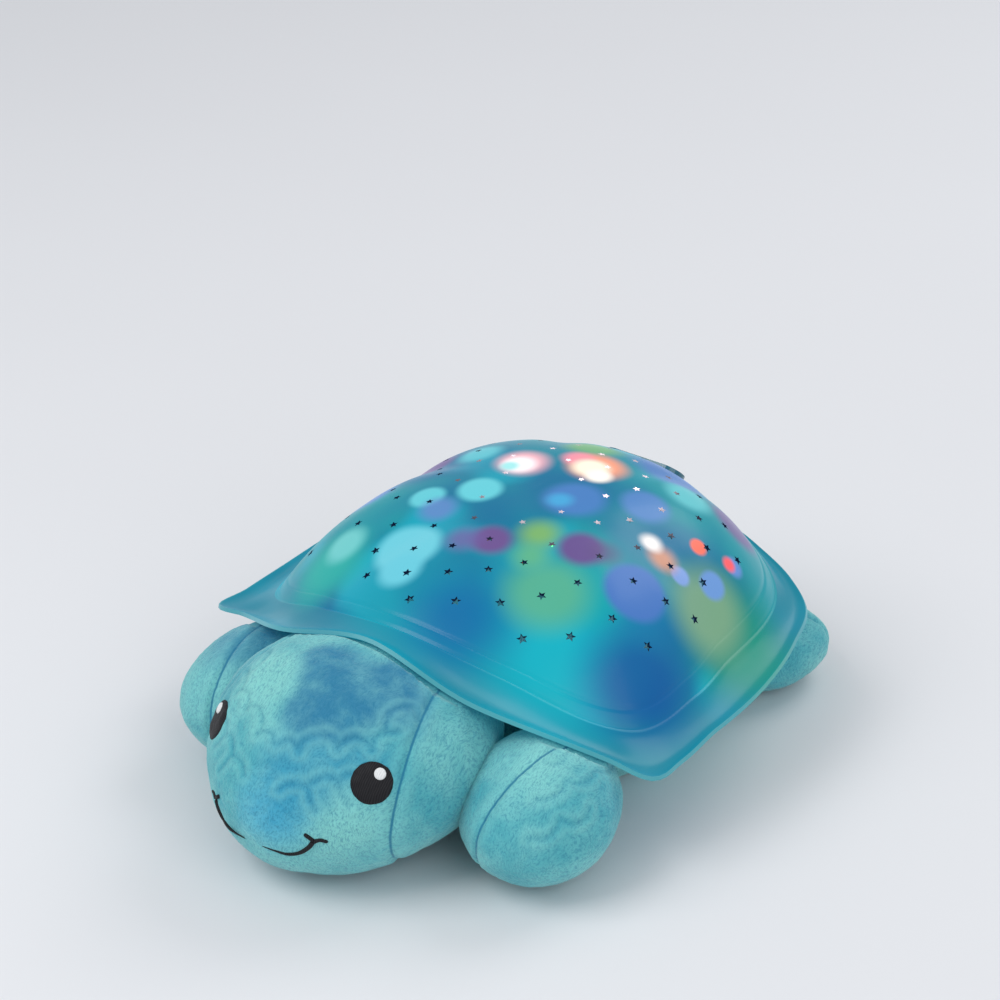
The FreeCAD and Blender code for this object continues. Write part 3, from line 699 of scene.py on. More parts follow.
@dataclass(frozen=True)
class GlowingShell:
    """Glossy translucent shell, with a painted glow: pools of coloured light as if lamps inside
    shone through it.
    """

    name: str = "lit_shell"
    teal: Colour = (0.0, 0.27, 0.33)
    blue: Colour = (0.0, 0.15, 0.30)
    cyan: Colour = (0.0, 0.36, 0.48)
    rim: Colour = (0.0, 0.19, 0.29)
    # Painted light along the brim's edge.
    edge_light: Colour = (0.30, 0.68, 0.62)
    glow: float = 0.74
    depth: float = 0.62  # share of black in the colour under the glow
    teal_span: tuple[float, float] = (0.32, 0.54)
    cyan_span: tuple[float, float] = (0.5, 0.68)
    brim_start: float = 0.02
    lip_span: tuple[float, float] = (0.965, 0.995)
    brim_share: float = 0.75
    grain: float = 700.0
    gloss: float = 0.34
    # Painted pools of coloured light where the lamps inside would shine through.
    light_pools: tuple[Patch, ...] = (
        Patch((2, -104, 100), 34, 26, (0.0, 0.28, 0.38), 0.8),
        Patch((70, -86, 88), 32, 24, (0.0, 0.42, 0.52), 0.9),
        Patch((24, -98, 96), 22, 18, (0.0, 0.12, 0.35), 0.8),
        Patch((101, -62, 74), 26, 16, (0.0, 0.09, 0.31), 0.9),
        Patch((84, -36, 98), 16, 14, (0.0, 0.15, 0.40), 0.6),
        Patch((108, 8, 66), 30, 18, (0.0, 0.27, 0.17), 0.85),
        Patch((97, 0, 82), 22, 12, (0.20, 0.37, 0.22), 0.85),
        Patch((62, -52, 104), 17, 9, (0.0, 0.36, 0.38), 0.7),
        Patch((50, -66, 107), 19, 10, (0.10, 0.42, 0.24), 0.8),
        Patch((25, -38, 119), 9, 7, (0.20, 0.44, 0.12), 0.9),
        Patch((30, -52, 115), 8, 7, (0.12, 0.44, 0.20), 0.8),
        Patch((-66, -86, 92), 20, 12, (0.02, 0.42, 0.36), 0.8),
        Patch((-27, -74, 109), 17, 4, (0.14, 0.57, 0.68)),
        Patch((-20, -88, 105), 11, 4, (0.13, 0.56, 0.68)),
        Patch((-66, -74, 98), 11, 5, (0.16, 0.58, 0.58), 0.9),
        Patch((-44, -37, 116), 9, 2.5, (0.11, 0.56, 0.64)),
        Patch((-23, -22, 121), 11, 3, (0.12, 0.58, 0.66)),
        Patch((-32, -44, 117), 9, 5, (0.12, 0.22, 0.54), 0.8),
        Patch((8, -54, 116), 10, 4, (0.14, 0.08, 0.26)),
        Patch((-4, -60, 115), 8, 6, (0.14, 0.11, 0.34), 0.8),
        Patch((47, -34, 116), 11, 4, (0.13, 0.08, 0.26)),
        Patch((56, -28, 113), 7, 5, (0.10, 0.06, 0.20), 0.6),
        Patch((78, -34, 102), 16, 3, (0.055, 0.17, 0.49)),
        Patch((21, -4, 122), 15, 5, (0.06, 0.20, 0.52), 0.9),
        Patch((48, 18, 117), 12, 4, (0.08, 0.22, 0.54), 0.9),
        Patch((16, -9, 122), 6, 4, (0.05, 0.38, 0.68), 0.9),
        Patch((29, 69, 107), 20, 8, (0.07, 0.17, 0.50), 0.85),
        Patch((82, -2, 98), 5.5, 1.6, (0.20, 0.34, 0.70)),
        Patch((91, 13, 89), 7.5, 2.0, (0.14, 0.30, 0.64)),
        Patch((92, 36, 91), 6.5, 2.0, (0.12, 0.26, 0.62)),
        Patch((77, 21, 102), 4.6, 1.4, (0.95, 0.15, 0.09)),
        Patch((89, 33, 92), 4.2, 1.8, (0.95, 0.12, 0.14)),
        Patch((73, -4, 105), 7, 5, (0.66, 0.30, 0.18), 0.9),
        Patch((64, -1, 109), 5.0, 3.6, (1.0, 0.95, 0.92)),
        Patch((-60, 60, 108), 15, 5, (0.12, 0.55, 0.64), 0.9),
        Patch((-78, 8, 104), 14, 5, (0.14, 0.08, 0.26), 0.9),
        Patch((-84, -30, 100), 12, 6, (0.08, 0.22, 0.54), 0.9),
        Patch((-92, 34, 88), 18, 12, (0.10, 0.42, 0.24), 0.8),
        Patch((70, 70, 92), 16, 6, (0.14, 0.08, 0.26), 0.9),
        Patch((-30, 84, 98), 13, 5, (0.08, 0.22, 0.54), 0.9),
        Patch((52, 50, 110), 12, 5, (0.12, 0.55, 0.60), 0.9),
        Patch((-8, 52, 117), 13, 7, (0.18, 0.44, 0.14), 0.8),
        Patch((-52, 16, 117), 11, 5, (0.10, 0.54, 0.62), 0.9),
    )
    # Painted bright spots of lamp light near the crown.
    hot_spots: tuple[Patch, ...] = (
        Patch((-22, 12, 122), 12, 6, (1.0, 0.50, 0.56), 0.9),
        Patch((-22, 9, 122), 8, 4, (1.0, 0.98, 1.0)),
        Patch((-25, 5, 122), 4.5, 2.5, (0.30, 0.80, 0.80), 0.9),
        Patch((10, 31, 121), 14, 6, (1.0, 0.36, 0.20), 0.9),
        Patch((-2, 32, 121), 8, 4, (1.0, 0.30, 0.40), 0.8),
        Patch((9, 27, 122), 9, 4, (1.0, 0.93, 0.74)),
        Patch((17, 22, 121), 6.5, 3, (1.0, 0.97, 0.88)),
    )

    def make(self, groups: Groups) -> bpy.types.Material:
        """Build the material.

        Args:
            groups: Shared shader groups.

        Returns:
            The material.
        """
        material, sheet, shader = new_material(self.name)
        place = sheet.place()
        haze = sheet.texture("Noise", place, Scale=11.0, Detail=2.0).outputs["Fac"]
        drift = sheet.texture("Noise", place, Scale=19.0, Detail=1.0).outputs["Fac"]
        colour = sheet.mix(sheet.ramp(haze, *self.teal_span), self.blue, self.teal)
        colour = sheet.mix(sheet.ramp(drift, *self.cyan_span), colour, self.cyan)
        brim = sheet.mark("brim")
        flank = sheet.math("GREATER_THAN", brim, self.brim_start)
        colour = sheet.mix(sheet.math("MULTIPLY", flank, self.brim_share), colour, self.rim)
        # Painted light: the pools and hot spots laid over the shell's colour, and fed to the
        # emission as a painted glow.
        light = paint(sheet, groups, place, (*self.light_pools, *self.hot_spots), SHELL_AXIS, colour)
        # Painted light: a pale line along the brim's outer edge.
        edge_light_mask = sheet.math("MULTIPLY", sheet.ramp(brim, *self.lip_span), self.brim_share)
        colour = sheet.mix(edge_light_mask, light, self.edge_light)
        skin = sheet.group(groups.moulding, Place=place, Grain=self.grain, Gloss=self.gloss)
        sheet.join(sheet.mix(self.depth, colour, (0.0, 0.0, 0.0)), shader.inputs["Base Color"])
        sheet.join(light, shader.inputs["Emission Color"])
        sheet.join(skin.outputs["Roughness"], shader.inputs["Roughness"])
        settle(shader, Emission_Strength=self.glow, Specular_IOR_Level=0.24, Coat_Weight=0.1,
               Coat_Roughness=0.16)
        bump(sheet, shader, skin.outputs["Height"], strength=0.06, depth=0.0001)
        return material


@dataclass(frozen=True)
class StarWall:
    """Cut edge of a star hole: dark low down, bright where the lamps reach it near the crown."""

    name: str = "star_wall"
    dark: Colour = (0.004, 0.008, 0.03)
    lit: Patch = Patch((8, 14, 128), 46, 26, (1.0, 0.86, 0.9), 1.6)

    def make(self, groups: Groups) -> bpy.types.Material:
        """Build the material.

        Args:
            groups: Shared shader groups.

        Returns:
            The material.
        """
        material, sheet, shader = new_material(self.name)
        place = sheet.place()
        glow = patch_mask(sheet, groups, place, self.lit, SHELL_AXIS)
        twinkle = sheet.texture("Noise", place, Scale=120.0).outputs["Fac"]
        mask = sheet.math("MULTIPLY", glow, sheet.math("MULTIPLY", twinkle, self.lit.strength))
        colour = sheet.mix(mask, self.dark, self.lit.colour)
        sheet.join(colour, shader.inputs["Base Color"])
        sheet.join(colour, shader.inputs["Emission Color"])
        settle(shader, Emission_Strength=0.8, Roughness=0.4)
        return material


@dataclass(frozen=True)
class Seam:
    """A sewn seam where a plane crosses a stuffed piece, its place in millimetres."""

    place: Vector
    normal: Vector


@dataclass(frozen=True)
class Velour:
    """Short-pile plush with painted patches of light and shade, brushed streaks and a sheen."""

    name: str
    base: Colour = (0.088, 0.44, 0.50)
    pale: Colour = (0.26, 0.68, 0.66)
    deep: Colour = (0.02, 0.19, 0.33)
    shading_patches: tuple[Patch, ...] = ()
    seams: tuple[Seam, ...] = ()
    cloud_span: tuple[float, float] = (0.42, 0.66)
    cloud_share: float = 0.7
    brush_start: float = 0.42
    brush_gain: float = 1.1
    streak_span: tuple[float, float] = (0.36, 0.54)
    streak_share: float = 0.55
    groove_share: float = 0.45
    ridge_share: float = 0.5
    seam_span: tuple[float, float] = (0.0002, 0.0009)
    seam_share: float = 0.85

    def make(self, groups: Groups) -> bpy.types.Material:
        """Build the material.

        Args:
            groups: Shared shader groups.

        Returns:
            The material.
        """
        material, sheet, shader = new_material(self.name)
        pile = sheet.group(groups.pile, Place=sheet.place())
        warped = pile.outputs["Warped"]
        cloud = sheet.texture("Noise", warped, Scale=17.0, Detail=3.0, Roughness=0.6).outputs["Fac"]
        pale = sheet.math("MULTIPLY", sheet.ramp(cloud, *self.cloud_span), self.cloud_share)
        colour = sheet.mix(pale, self.base, self.pale)
        bent = Vector((WARP, WARP, WARP)) / 2.0
        # Painted light and shade: darker blue patches where the shell shades the plush, paler ones
        # where light falls on it.
        colour = paint(sheet, groups, warped, self.shading_patches, bent, colour)
        over = sheet.math("SUBTRACT", pile.outputs["Patch"], self.brush_start)
        brushed = sheet.math("MULTIPLY", over, self.brush_gain)
        brushed.node.use_clamp = True
        colour = sheet.mix(brushed, colour, self.pale)
        streak = sheet.ramp(pile.outputs["Streak"], *self.streak_span, self.streak_share, 0.0,
                            Ramp.EVEN)
        colour = sheet.mix(streak, colour, self.deep)
        # Painted shade in the grooves of the embossed lines, which also mark the body's seam, and
        # painted highlight on their ridges.
        for mark, share, shade in (("groove", self.groove_share, self.deep),
                                   ("ridge", self.ridge_share, self.pale)):
            colour = sheet.mix(sheet.math("MULTIPLY", sheet.mark(mark), share), colour, shade)
        for seam in self.seams:
            colour = sheet.mix(self.seam_line(sheet, seam), colour, self.deep)
        sheet.join(colour, shader.inputs["Base Color"])
        settle(shader, Roughness=0.92, Specular_IOR_Level=0.15, Sheen_Weight=0.55,
               Sheen_Roughness=0.4, Sheen_Tint=(0.62, 0.95, 0.92, 1.0))
        bump(sheet, shader, pile.outputs["Height"], strength=0.65, depth=0.0009)
        return material

    def seam_line(self, sheet: Sheet, seam: Seam) -> bpy.types.NodeSocket:
        """Thin dark line where a seam's plane crosses the plush.

        Args:
            sheet: The material's sheet.
            seam: The seam.

        Returns:
            The line's mask.
        """
        across = sheet.vector("DOT_PRODUCT", sheet.place(), seam.normal[:]).outputs["Value"]
        offset = sheet.math("SUBTRACT", across, seam.normal.dot(seam.place) * MM)
        return sheet.ramp(sheet.math("ABSOLUTE", offset), *self.seam_span, self.seam_share, 0.0)


@dataclass(frozen=True)
class Satin:
    """Satin-stitch embroidery thread."""

    name: str
    colour: Colour
    shine: Colour
    scale: float = 2400.0 / 6.3  # threads about 0.8 mm apart

    def make(self) -> bpy.types.Material:
        """Build the material.

        Returns:
            The material.
        """
        material, sheet, shader = new_material(self.name)
        stitch = sheet.texture("Wave", sheet.place(), Scale=self.scale, Distortion=1.5, Detail=1.0)
        thread = stitch.outputs["Fac"]
        colour = sheet.mix(sheet.math("MULTIPLY", thread, 0.5), self.colour, self.shine)
        sheet.join(colour, shader.inputs["Base Color"])
        settle(shader, Roughness=0.5, Specular_IOR_Level=0.2)
        bump(sheet, shader, thread, strength=0.5, depth=0.0003)
        return material


class PhotoView:
    """The photograph's camera, which also turns its pixels into lines of sight."""

    place = Vector((0.76876, -1.01038, 0.80546))
    aim = Vector((-0.02792, 0.04892, 0.10319))
    lens = 108.25
    sensor = 36.0
    near = 0.05
    frame_pixels = 1000.0

    def __init__(self) -> None:
        """Work out the camera's own directions."""
        self.forward = (self.aim - self.place).normalized()
        self.right = self.forward.cross(UP).normalized()
        self.up = self.right.cross(self.forward)

    def make(self) -> None:
        """Create the camera."""
        data = bpy.data.cameras.new("camera")
        data.lens = self.lens
        data.sensor_width = self.sensor
        data.clip_start = self.near
        camera = bpy.data.objects.new("camera", data)
        bpy.context.collection.objects.link(camera)
        turn = Matrix((self.right, self.up, -self.forward)).transposed()
        camera.matrix_world = Matrix.Translation(self.place) @ turn.to_4x4()
        bpy.context.scene.camera = camera

    def sight(self, u: float, v: float) -> Vector:
        """Direction from the camera through a pixel.

        Args:
            u: Pixels from the left.
            v: Pixels from the top.

        Returns:
            The unit direction.
        """
        focal = self.lens / self.sensor * self.frame_pixels
        half = self.frame_pixels / 2.0
        way = self.forward + self.right * ((u - half) / focal) - self.up * ((v - half) / focal)
        return way.normalized()

    def drop(self, skin: BVHTree, line: Line, side: float = 1.0) -> list[Vector]:
        """Drop a line drawn on the photograph onto a surface.

        Args:
            skin: The surface.
            line: The line in pixels.
            side: 1 to keep it, -1 to mirror it to the other side.

        Returns:
            Points of its smooth curve on the surface, in metres.
        """
        hits = [skin.ray_cast(self.place, self.sight(u, v))[0] for u, v in round_line(line)]
        return [Vector((side * p.x, p.y, p.z)) for p in hits if p is not None]


@dataclass
class ShellForm:
    """The shell's outer face, in millimetres round its own axis."""

    wall: float = 2.0
    apex: float = 119.5
    power: float = 3.5
    lean: float = 4.0
    crown_rise: float = 2.2
    crown_radius: float = 46.0
    crown_start: float = 0.5  # share of the crown's radius
    valley_start: float = 0.6  # share of the crown's radius
    valley_fade: tuple[float, float] = (3.0, 2.2)  # slope and shift of the fade at the crease
    valley_depth: float = 1.6
    valley_width: float = 10.0
    valleys: tuple[float, ...] = (26.0, 92.0, 152.0)
    softness: float = 4.5
    crease_radius: Table = (
        (0, 118), (26, 121), (54, 134), (72, 122), (90, 112), (122, 116), (150, 112), (180, 109))
    crease_height: Table = (
        (0, 92), (26, 81), (54, 57), (72, 58), (90, 60), (122, 62), (150, 66), (180, 69))
    brim_radius: Table = (
        (0, 137), (24, 146), (40, 146), (48, 151), (54, 163), (61, 152), (72, 139), (90, 131),
        (108, 129), (121, 131), (134, 126), (150, 120), (180, 118))
    brim_height: Table = (
        (0, 96), (24, 80), (54, 50), (72, 50), (90, 52), (121, 56), (150, 59), (180, 62))
    lip_reach: float = 6.0
    lip_lift: float = 2.0
    lip_slope: float = 0.8
    tray_top: float = 59.0
    tray_plate: float = 3.0
    tray_inset: float = 10.0

    def edges(self, angle: float) -> tuple[float, float, float, float]:
        """Crease radius and height, then brim radius and height, at an angle."""
        return (ring_value(self.crease_radius, angle), ring_value(self.crease_height, angle),
                ring_value(self.brim_radius, angle), ring_value(self.brim_height, angle))

    def height(self, angle: float, distance: float,
               edges: tuple[float, ...] | None = None) -> float:
        """Height of the outer face.

        Args:
            angle: Degrees from the front.
            distance: Distance from the axis.
            edges: What edges() gives at this angle, if it is known.

        Returns:
            The height above the ground.
        """
        crease, crease_height, brim, brim_height = edges or self.edges(angle)
        share = distance / crease
        dome = crease_height + (self.apex - crease_height) * (1.0 - share**self.power)
        dome -= self.lean * math.cos(math.radians(angle)) * share * (1.0 - min(share, 1.0)**2)
        out = distance / self.crown_radius
        slope, shift = self.valley_fade
        dome += self.crown_rise * (1.0 - smooth(out - self.crown_start))
        ramp = smooth(out - self.valley_start) * (1.0 - smooth(slope * share - shift))
        for valley in self.valleys:
            for side in (-1.0, 1.0):
                turn = math.radians(angle - side * valley)
                if math.cos(turn) > 0.0:
                    across = distance * math.sin(turn) / self.valley_width
                    dome -= self.valley_depth * ramp * math.exp(-across * across)
        fall = (brim_height - crease_height) / (brim - crease)
        rim = crease_height + fall * max(distance - crease, -self.softness)
        return 0.5 * (dome + rim + math.sqrt((dome - rim)**2 + self.softness**2))

    def at(self, x: float, y: float) -> float:
        """Height of the outer face over a point."""
        return self.height(math.degrees(math.atan2(x, -y)), math.hypot(x, y))

    def normal(self, x: float, y: float) -> Vector:
        """Outward direction of the outer face over a point.

        Args:
            x: Millimetres to the left of the axis.
            y: Millimetres behind it.

        Returns:
            The unit direction.
        """
        run = 0.5
        rise_x = (self.at(x + run, y) - self.at(x - run, y)) / (2.0 * run)
        rise_y = (self.at(x, y + run) - self.at(x, y - run)) / (2.0 * run)
        return Vector((-rise_x, -rise_y, 1.0)).normalized()

    def tuck(self, point: Vector, gap: float = 0.5) -> Vector:
        """Move a stuffed point out of the shell and the tray.

        Args:
            point: A point in metres in the object's own frame.
            gap: Clearance in millimetres.

        Returns:
            The point, pushed down under the shell or out from the tray.
        """
        local = (point - SHELL_AXIS) / MM
        distance = math.hypot(local.x, local.y)
        angle = math.degrees(math.atan2(local.x, -local.y))
        edges = self.edges(angle)
        brim = edges[2]
        if distance < brim + self.lip_reach:
            slope = self.normal(local.x, local.y).z if distance < brim else self.lip_slope
            under = self.height(angle, min(distance, brim), edges) - self.wall / slope - gap
            under += self.lip_lift * smooth((distance - brim) / self.lip_reach)
            local.z = min(local.z, under)
        tray = edges[0] - self.tray_inset + gap
        floor = self.tray_top - self.tray_plate - gap
        if distance < tray and local.z > floor:
            if local.z - floor < tray - distance:
                local.z = floor
            else:
                local.x *= tray / distance
                local.y *= tray / distance
        return local * MM + SHELL_AXIS


@dataclass
class StarShell:
    """Hard shell with its grooved crease, dished brim and star holes."""

    form: ShellForm
    sectors: int = 260
    open_rings: int = 44
    foot_rings: int = 30
    brim_rings: int = 30
    foot_share: float = 0.88
    groove_depth: float = 0.8
    groove_width: float = 0.75
    groove_places: tuple[float, ...] = (-1.0, -6.5)
    dish: float = 2.2
    upturn: float = 2.0
    star_count: int = 84
    star_points: int = 5
    star_turn: float = 2.1  # radians from one star to the next
    spiral_spare: float = 1.16  # places on the spiral for each star
    tip_low: float = 2.9
    tip_high: float = 1.5
    waist: float = 0.46
    inner_ring: float = 9.0
    border: float = 11.0
    space: float = 2.0
    star_depth: float = 9.0
    boss_radius: float = 3.6
    boss_reach: float = 13.5 + boss_radius  # from the crease to a boss's middle
    boss_angles: tuple[float, ...] = (40.0, 88.0, 142.0)
    panel_distance: float = 89.0
    panel_length: float = 46.0
    panel_width: float = 18.0
    panel_corners: int = 48
    gap: float = 0.3
    sharp_angle: float = 38.0

    def surface(self, angle: float, ring: float) -> tuple[Vector, float]:
        """Point of the outer face.

        Args:
            angle: Degrees from the front.
            ring: 0 at the crown, 1 at the crease and 2 at the brim's edge.

        Returns:
            The point in metres, and how far out on the brim it is, from 0 to 1.
        """
        edges = self.form.edges(angle)
        crease, brim = edges[0], edges[2]
        distance = crease * min(ring, 1.0) + (brim - crease) * max(ring - 1.0, 0.0)
        height = self.form.height(angle, distance, edges)
        out = max(ring - 1.0, 0.0)
        for groove in self.groove_places:
            across = (distance - crease - groove) / self.groove_width
            height -= self.groove_depth * math.exp(-across * across)
        height += self.upturn * out**3 - self.dish * math.sin(math.pi * out) * out
        turn = math.radians(angle)
        point = Vector((distance * math.sin(turn), -distance * math.cos(turn), height))
        return point * MM + SHELL_AXIS, out

    def make_wall(self) -> bpy.types.Object:
        """Grow the outer face ring by ring from the crown and give it its wall.

        Returns:
            The shell without its holes.
        """
        bm = bmesh.new()
        brim = bm.verts.layers.float.new("brim")
        start = bmesh.ops.create_circle(bm, cap_ends=True, cap_tris=True, segments=self.sectors,
                                        radius=1.0)["verts"]
        loop = sorted((v for v in start if v.co.length > 0.5),
                      key=lambda v: math.atan2(v.co.x, -v.co.y))
        angles = [math.degrees(math.atan2(v.co.x, -v.co.y)) for v in loop]
        for vert in start:
            if vert not in loop:
                vert.co = self.surface(0.0, 0.0)[0]
        rings = [self.foot_share * (k + 1) / self.open_rings for k in range(self.open_rings)]
        rings += [self.foot_share + (1.0 - self.foot_share) * (k + 1) / self.foot_rings
                  for k in range(self.foot_rings)]
        rings += [1.0 + (k + 1) / self.brim_rings for k in range(self.brim_rings)]
        for index, ring in enumerate(rings):
            if index:
                loop = grow_ring(bm, loop)
            for vert, angle in zip(loop, angles):
                vert.co, vert[brim] = self.surface(angle, ring)
        bmesh.ops.recalc_face_normals(bm, faces=bm.faces)
        if sum(f.normal.z for f in bm.faces) < 0.0:
            bmesh.ops.reverse_faces(bm, faces=bm.faces)
        shell = new_object("star_shell", bm)
        wall = shell.modifiers.new("wall", "SOLIDIFY")
        wall.thickness = self.form.wall * MM
        wall.offset = -1.0
        wall.use_even_offset = True
        return shell

    def star_places(self) -> list[tuple[Vector, float]]:
        """Places of the stars, on a spiral that keeps off the bosses and the panel.

        Returns:
            Each star's centre and the radius of its tips, in millimetres.
        """
        golden = math.pi * (3.0 - math.sqrt(5.0))
        bosses = []
        for side in (1.0, -1.0):
            for angle in self.boss_angles:
                reach = ring_value(self.form.crease_radius, angle) - self.boss_reach
                turn = math.radians(side * angle)
                bosses.append((reach * math.sin(turn), -reach * math.cos(turn)))
        panel = self.panel_matrix().inverted()
        places: list[tuple[Vector, float]] = []
        index = 0
        while len(places) < self.star_count:
            index += 1
            share = math.sqrt(index / (self.star_count * self.spiral_spare))
            if share > 1.0:
                break
            angle = index * golden
            limit = ring_value(self.form.crease_radius, math.degrees(angle)) - self.border
            distance = self.inner_ring + (limit - self.inner_ring) * share
            x, y = distance * math.sin(angle), -distance * math.cos(angle)
            tip = self.tip_high + (self.tip_low - self.tip_high) * share
            room = tip + self.space
            place = Vector((x, y, self.form.at(x, y)))
            local = panel @ place
            on_panel = (abs(local.x) < self.panel_length / 2.0 + room
                        and abs(local.y) < self.panel_width / 2.0 + room)
            on_boss = any(math.hypot(x - a, y - b) < self.boss_radius + room for a, b in bosses)
            if not on_panel and not on_boss:
                places.append((place, tip))
        return places

    def panel_matrix(self) -> Matrix:
        """Place and tilt of the control panel on the outer face, in millimetres."""
        height = self.form.at(0.0, self.panel_distance)
        return self.upright(Vector((0.0, self.panel_distance, height)))

    def upright(self, place: Vector) -> Matrix:
        """Move to a place on the outer face and tilt to stand up on it, in millimetres."""
        turn = UP.rotation_difference(self.form.normal(place.x, place.y)).to_matrix().to_4x4()
        return Matrix.Translation(place) @ turn

    def make_cutters(self) -> bpy.types.Object:
        """Star prisms and the panel's oval, all in one mesh.

        Returns:
            The cutter object, whose faces use the second material.
        """
        bm = bmesh.new()
        for number, (place, tip) in enumerate(self.star_places()):
            spin = Matrix.Rotation(number * self.star_turn, 4, "Z")
            radii = [tip * self.waist, tip] * self.star_points
            self.add_prism(bm, self.upright(place) @ spin, radii, 0.0)
        half = self.panel_width / 2.0 + self.gap
        stretch = self.panel_length / 2.0 + self.gap - half
        self.add_prism(bm, self.panel_matrix(), [half] * self.panel_corners, stretch)
        for face in bm.faces:
            face.material_index = 1
        cutters = new_object("cutters", bm)
        cutters.data.materials.append(None)
        cutters.data.materials.append(None)
        return cutters

    def add_prism(self, bm: bmesh.types.BMesh, matrix: Matrix, radii: list[float],
                  stretch: float) -> None:
        """Add one closed prism along the shell's normal.

        Args:
            bm: The cutters' mesh.
            matrix: Place and tilt in millimetres from the shell's axis.
            radii: Corner distances in order round the axis.
            stretch: How far each half is moved out along x, which makes an oval.
        """
        foot = bmesh.ops.create_circle(bm, cap_ends=True, segments=len(radii), radius=1.0)["verts"]
        foot = sorted(foot, key=lambda v: math.atan2(v.co.y, v.co.x))
        for vert, reach in zip(foot, radii):
            side = math.copysign(stretch, vert.co.x) if stretch else 0.0
            vert.co = Vector((vert.co.x * reach + side, vert.co.y * reach, -self.star_depth / 2.0))
        faces = list({f for v in foot for f in v.link_faces})
        grown = bmesh.ops.extrude_face_region(bm, geom=faces)["geom"]
        top = [g for g in grown if isinstance(g, bmesh.types.BMVert)]
        bmesh.ops.translate(bm, verts=top, vec=(0.0, 0.0, self.star_depth))
        verts = foot + top
        bmesh.ops.recalc_face_normals(bm, faces=list({f for v in verts for f in v.link_faces}))
        shift = Matrix.Translation(SHELL_AXIS) @ Matrix.Scale(MM, 4)
        bmesh.ops.transform(bm, matrix=shift @ matrix, verts=verts)

    def make(self, skin: bpy.types.Material, wall: bpy.types.Material) -> bpy.types.Object:
        """Build and dress the shell.

        Args:
            skin: Finish of the shell's faces.
            wall: Finish of the star holes' walls.

        Returns:
            The finished shell.
        """
        shell = self.make_wall()
        apply_modifiers(shell)
        shell.data.materials.append(skin)
        shell.data.materials.append(wall)
        cut_away(shell, self.make_cutters())
        shell.data.shade_smooth()
        shell.data.set_sharp_from_angle(angle=math.radians(self.sharp_angle))
        indices = [face.material_index for face in shell.data.polygons]
        dress(shell, Slot.SHELL, skin, wall)
        shell.data.polygons.foreach_set("material_index", indices)
        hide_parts("shell")
        return shell


@dataclass(frozen=True)
class Relief:
    """Section of a sewn line in plush, in millimetres: a dent with a swell on each side."""

    depth: float
    width: float
    swell: float
    swell_place: float
    swell_width: float
    reach: float
    # dark and pale: shares of painted shade in the dent and of painted highlight on the swells
    dark: float
    pale: float

    def dent(self, gap: float) -> float:
        """Share of the dent at a distance from the line."""
        return math.exp(-(gap / self.width)**2)

    def rise(self, gap: float) -> float:
        """Share of the swell at a distance from the line."""
        return math.exp(-((gap - self.swell_place) / self.swell_width)**2)


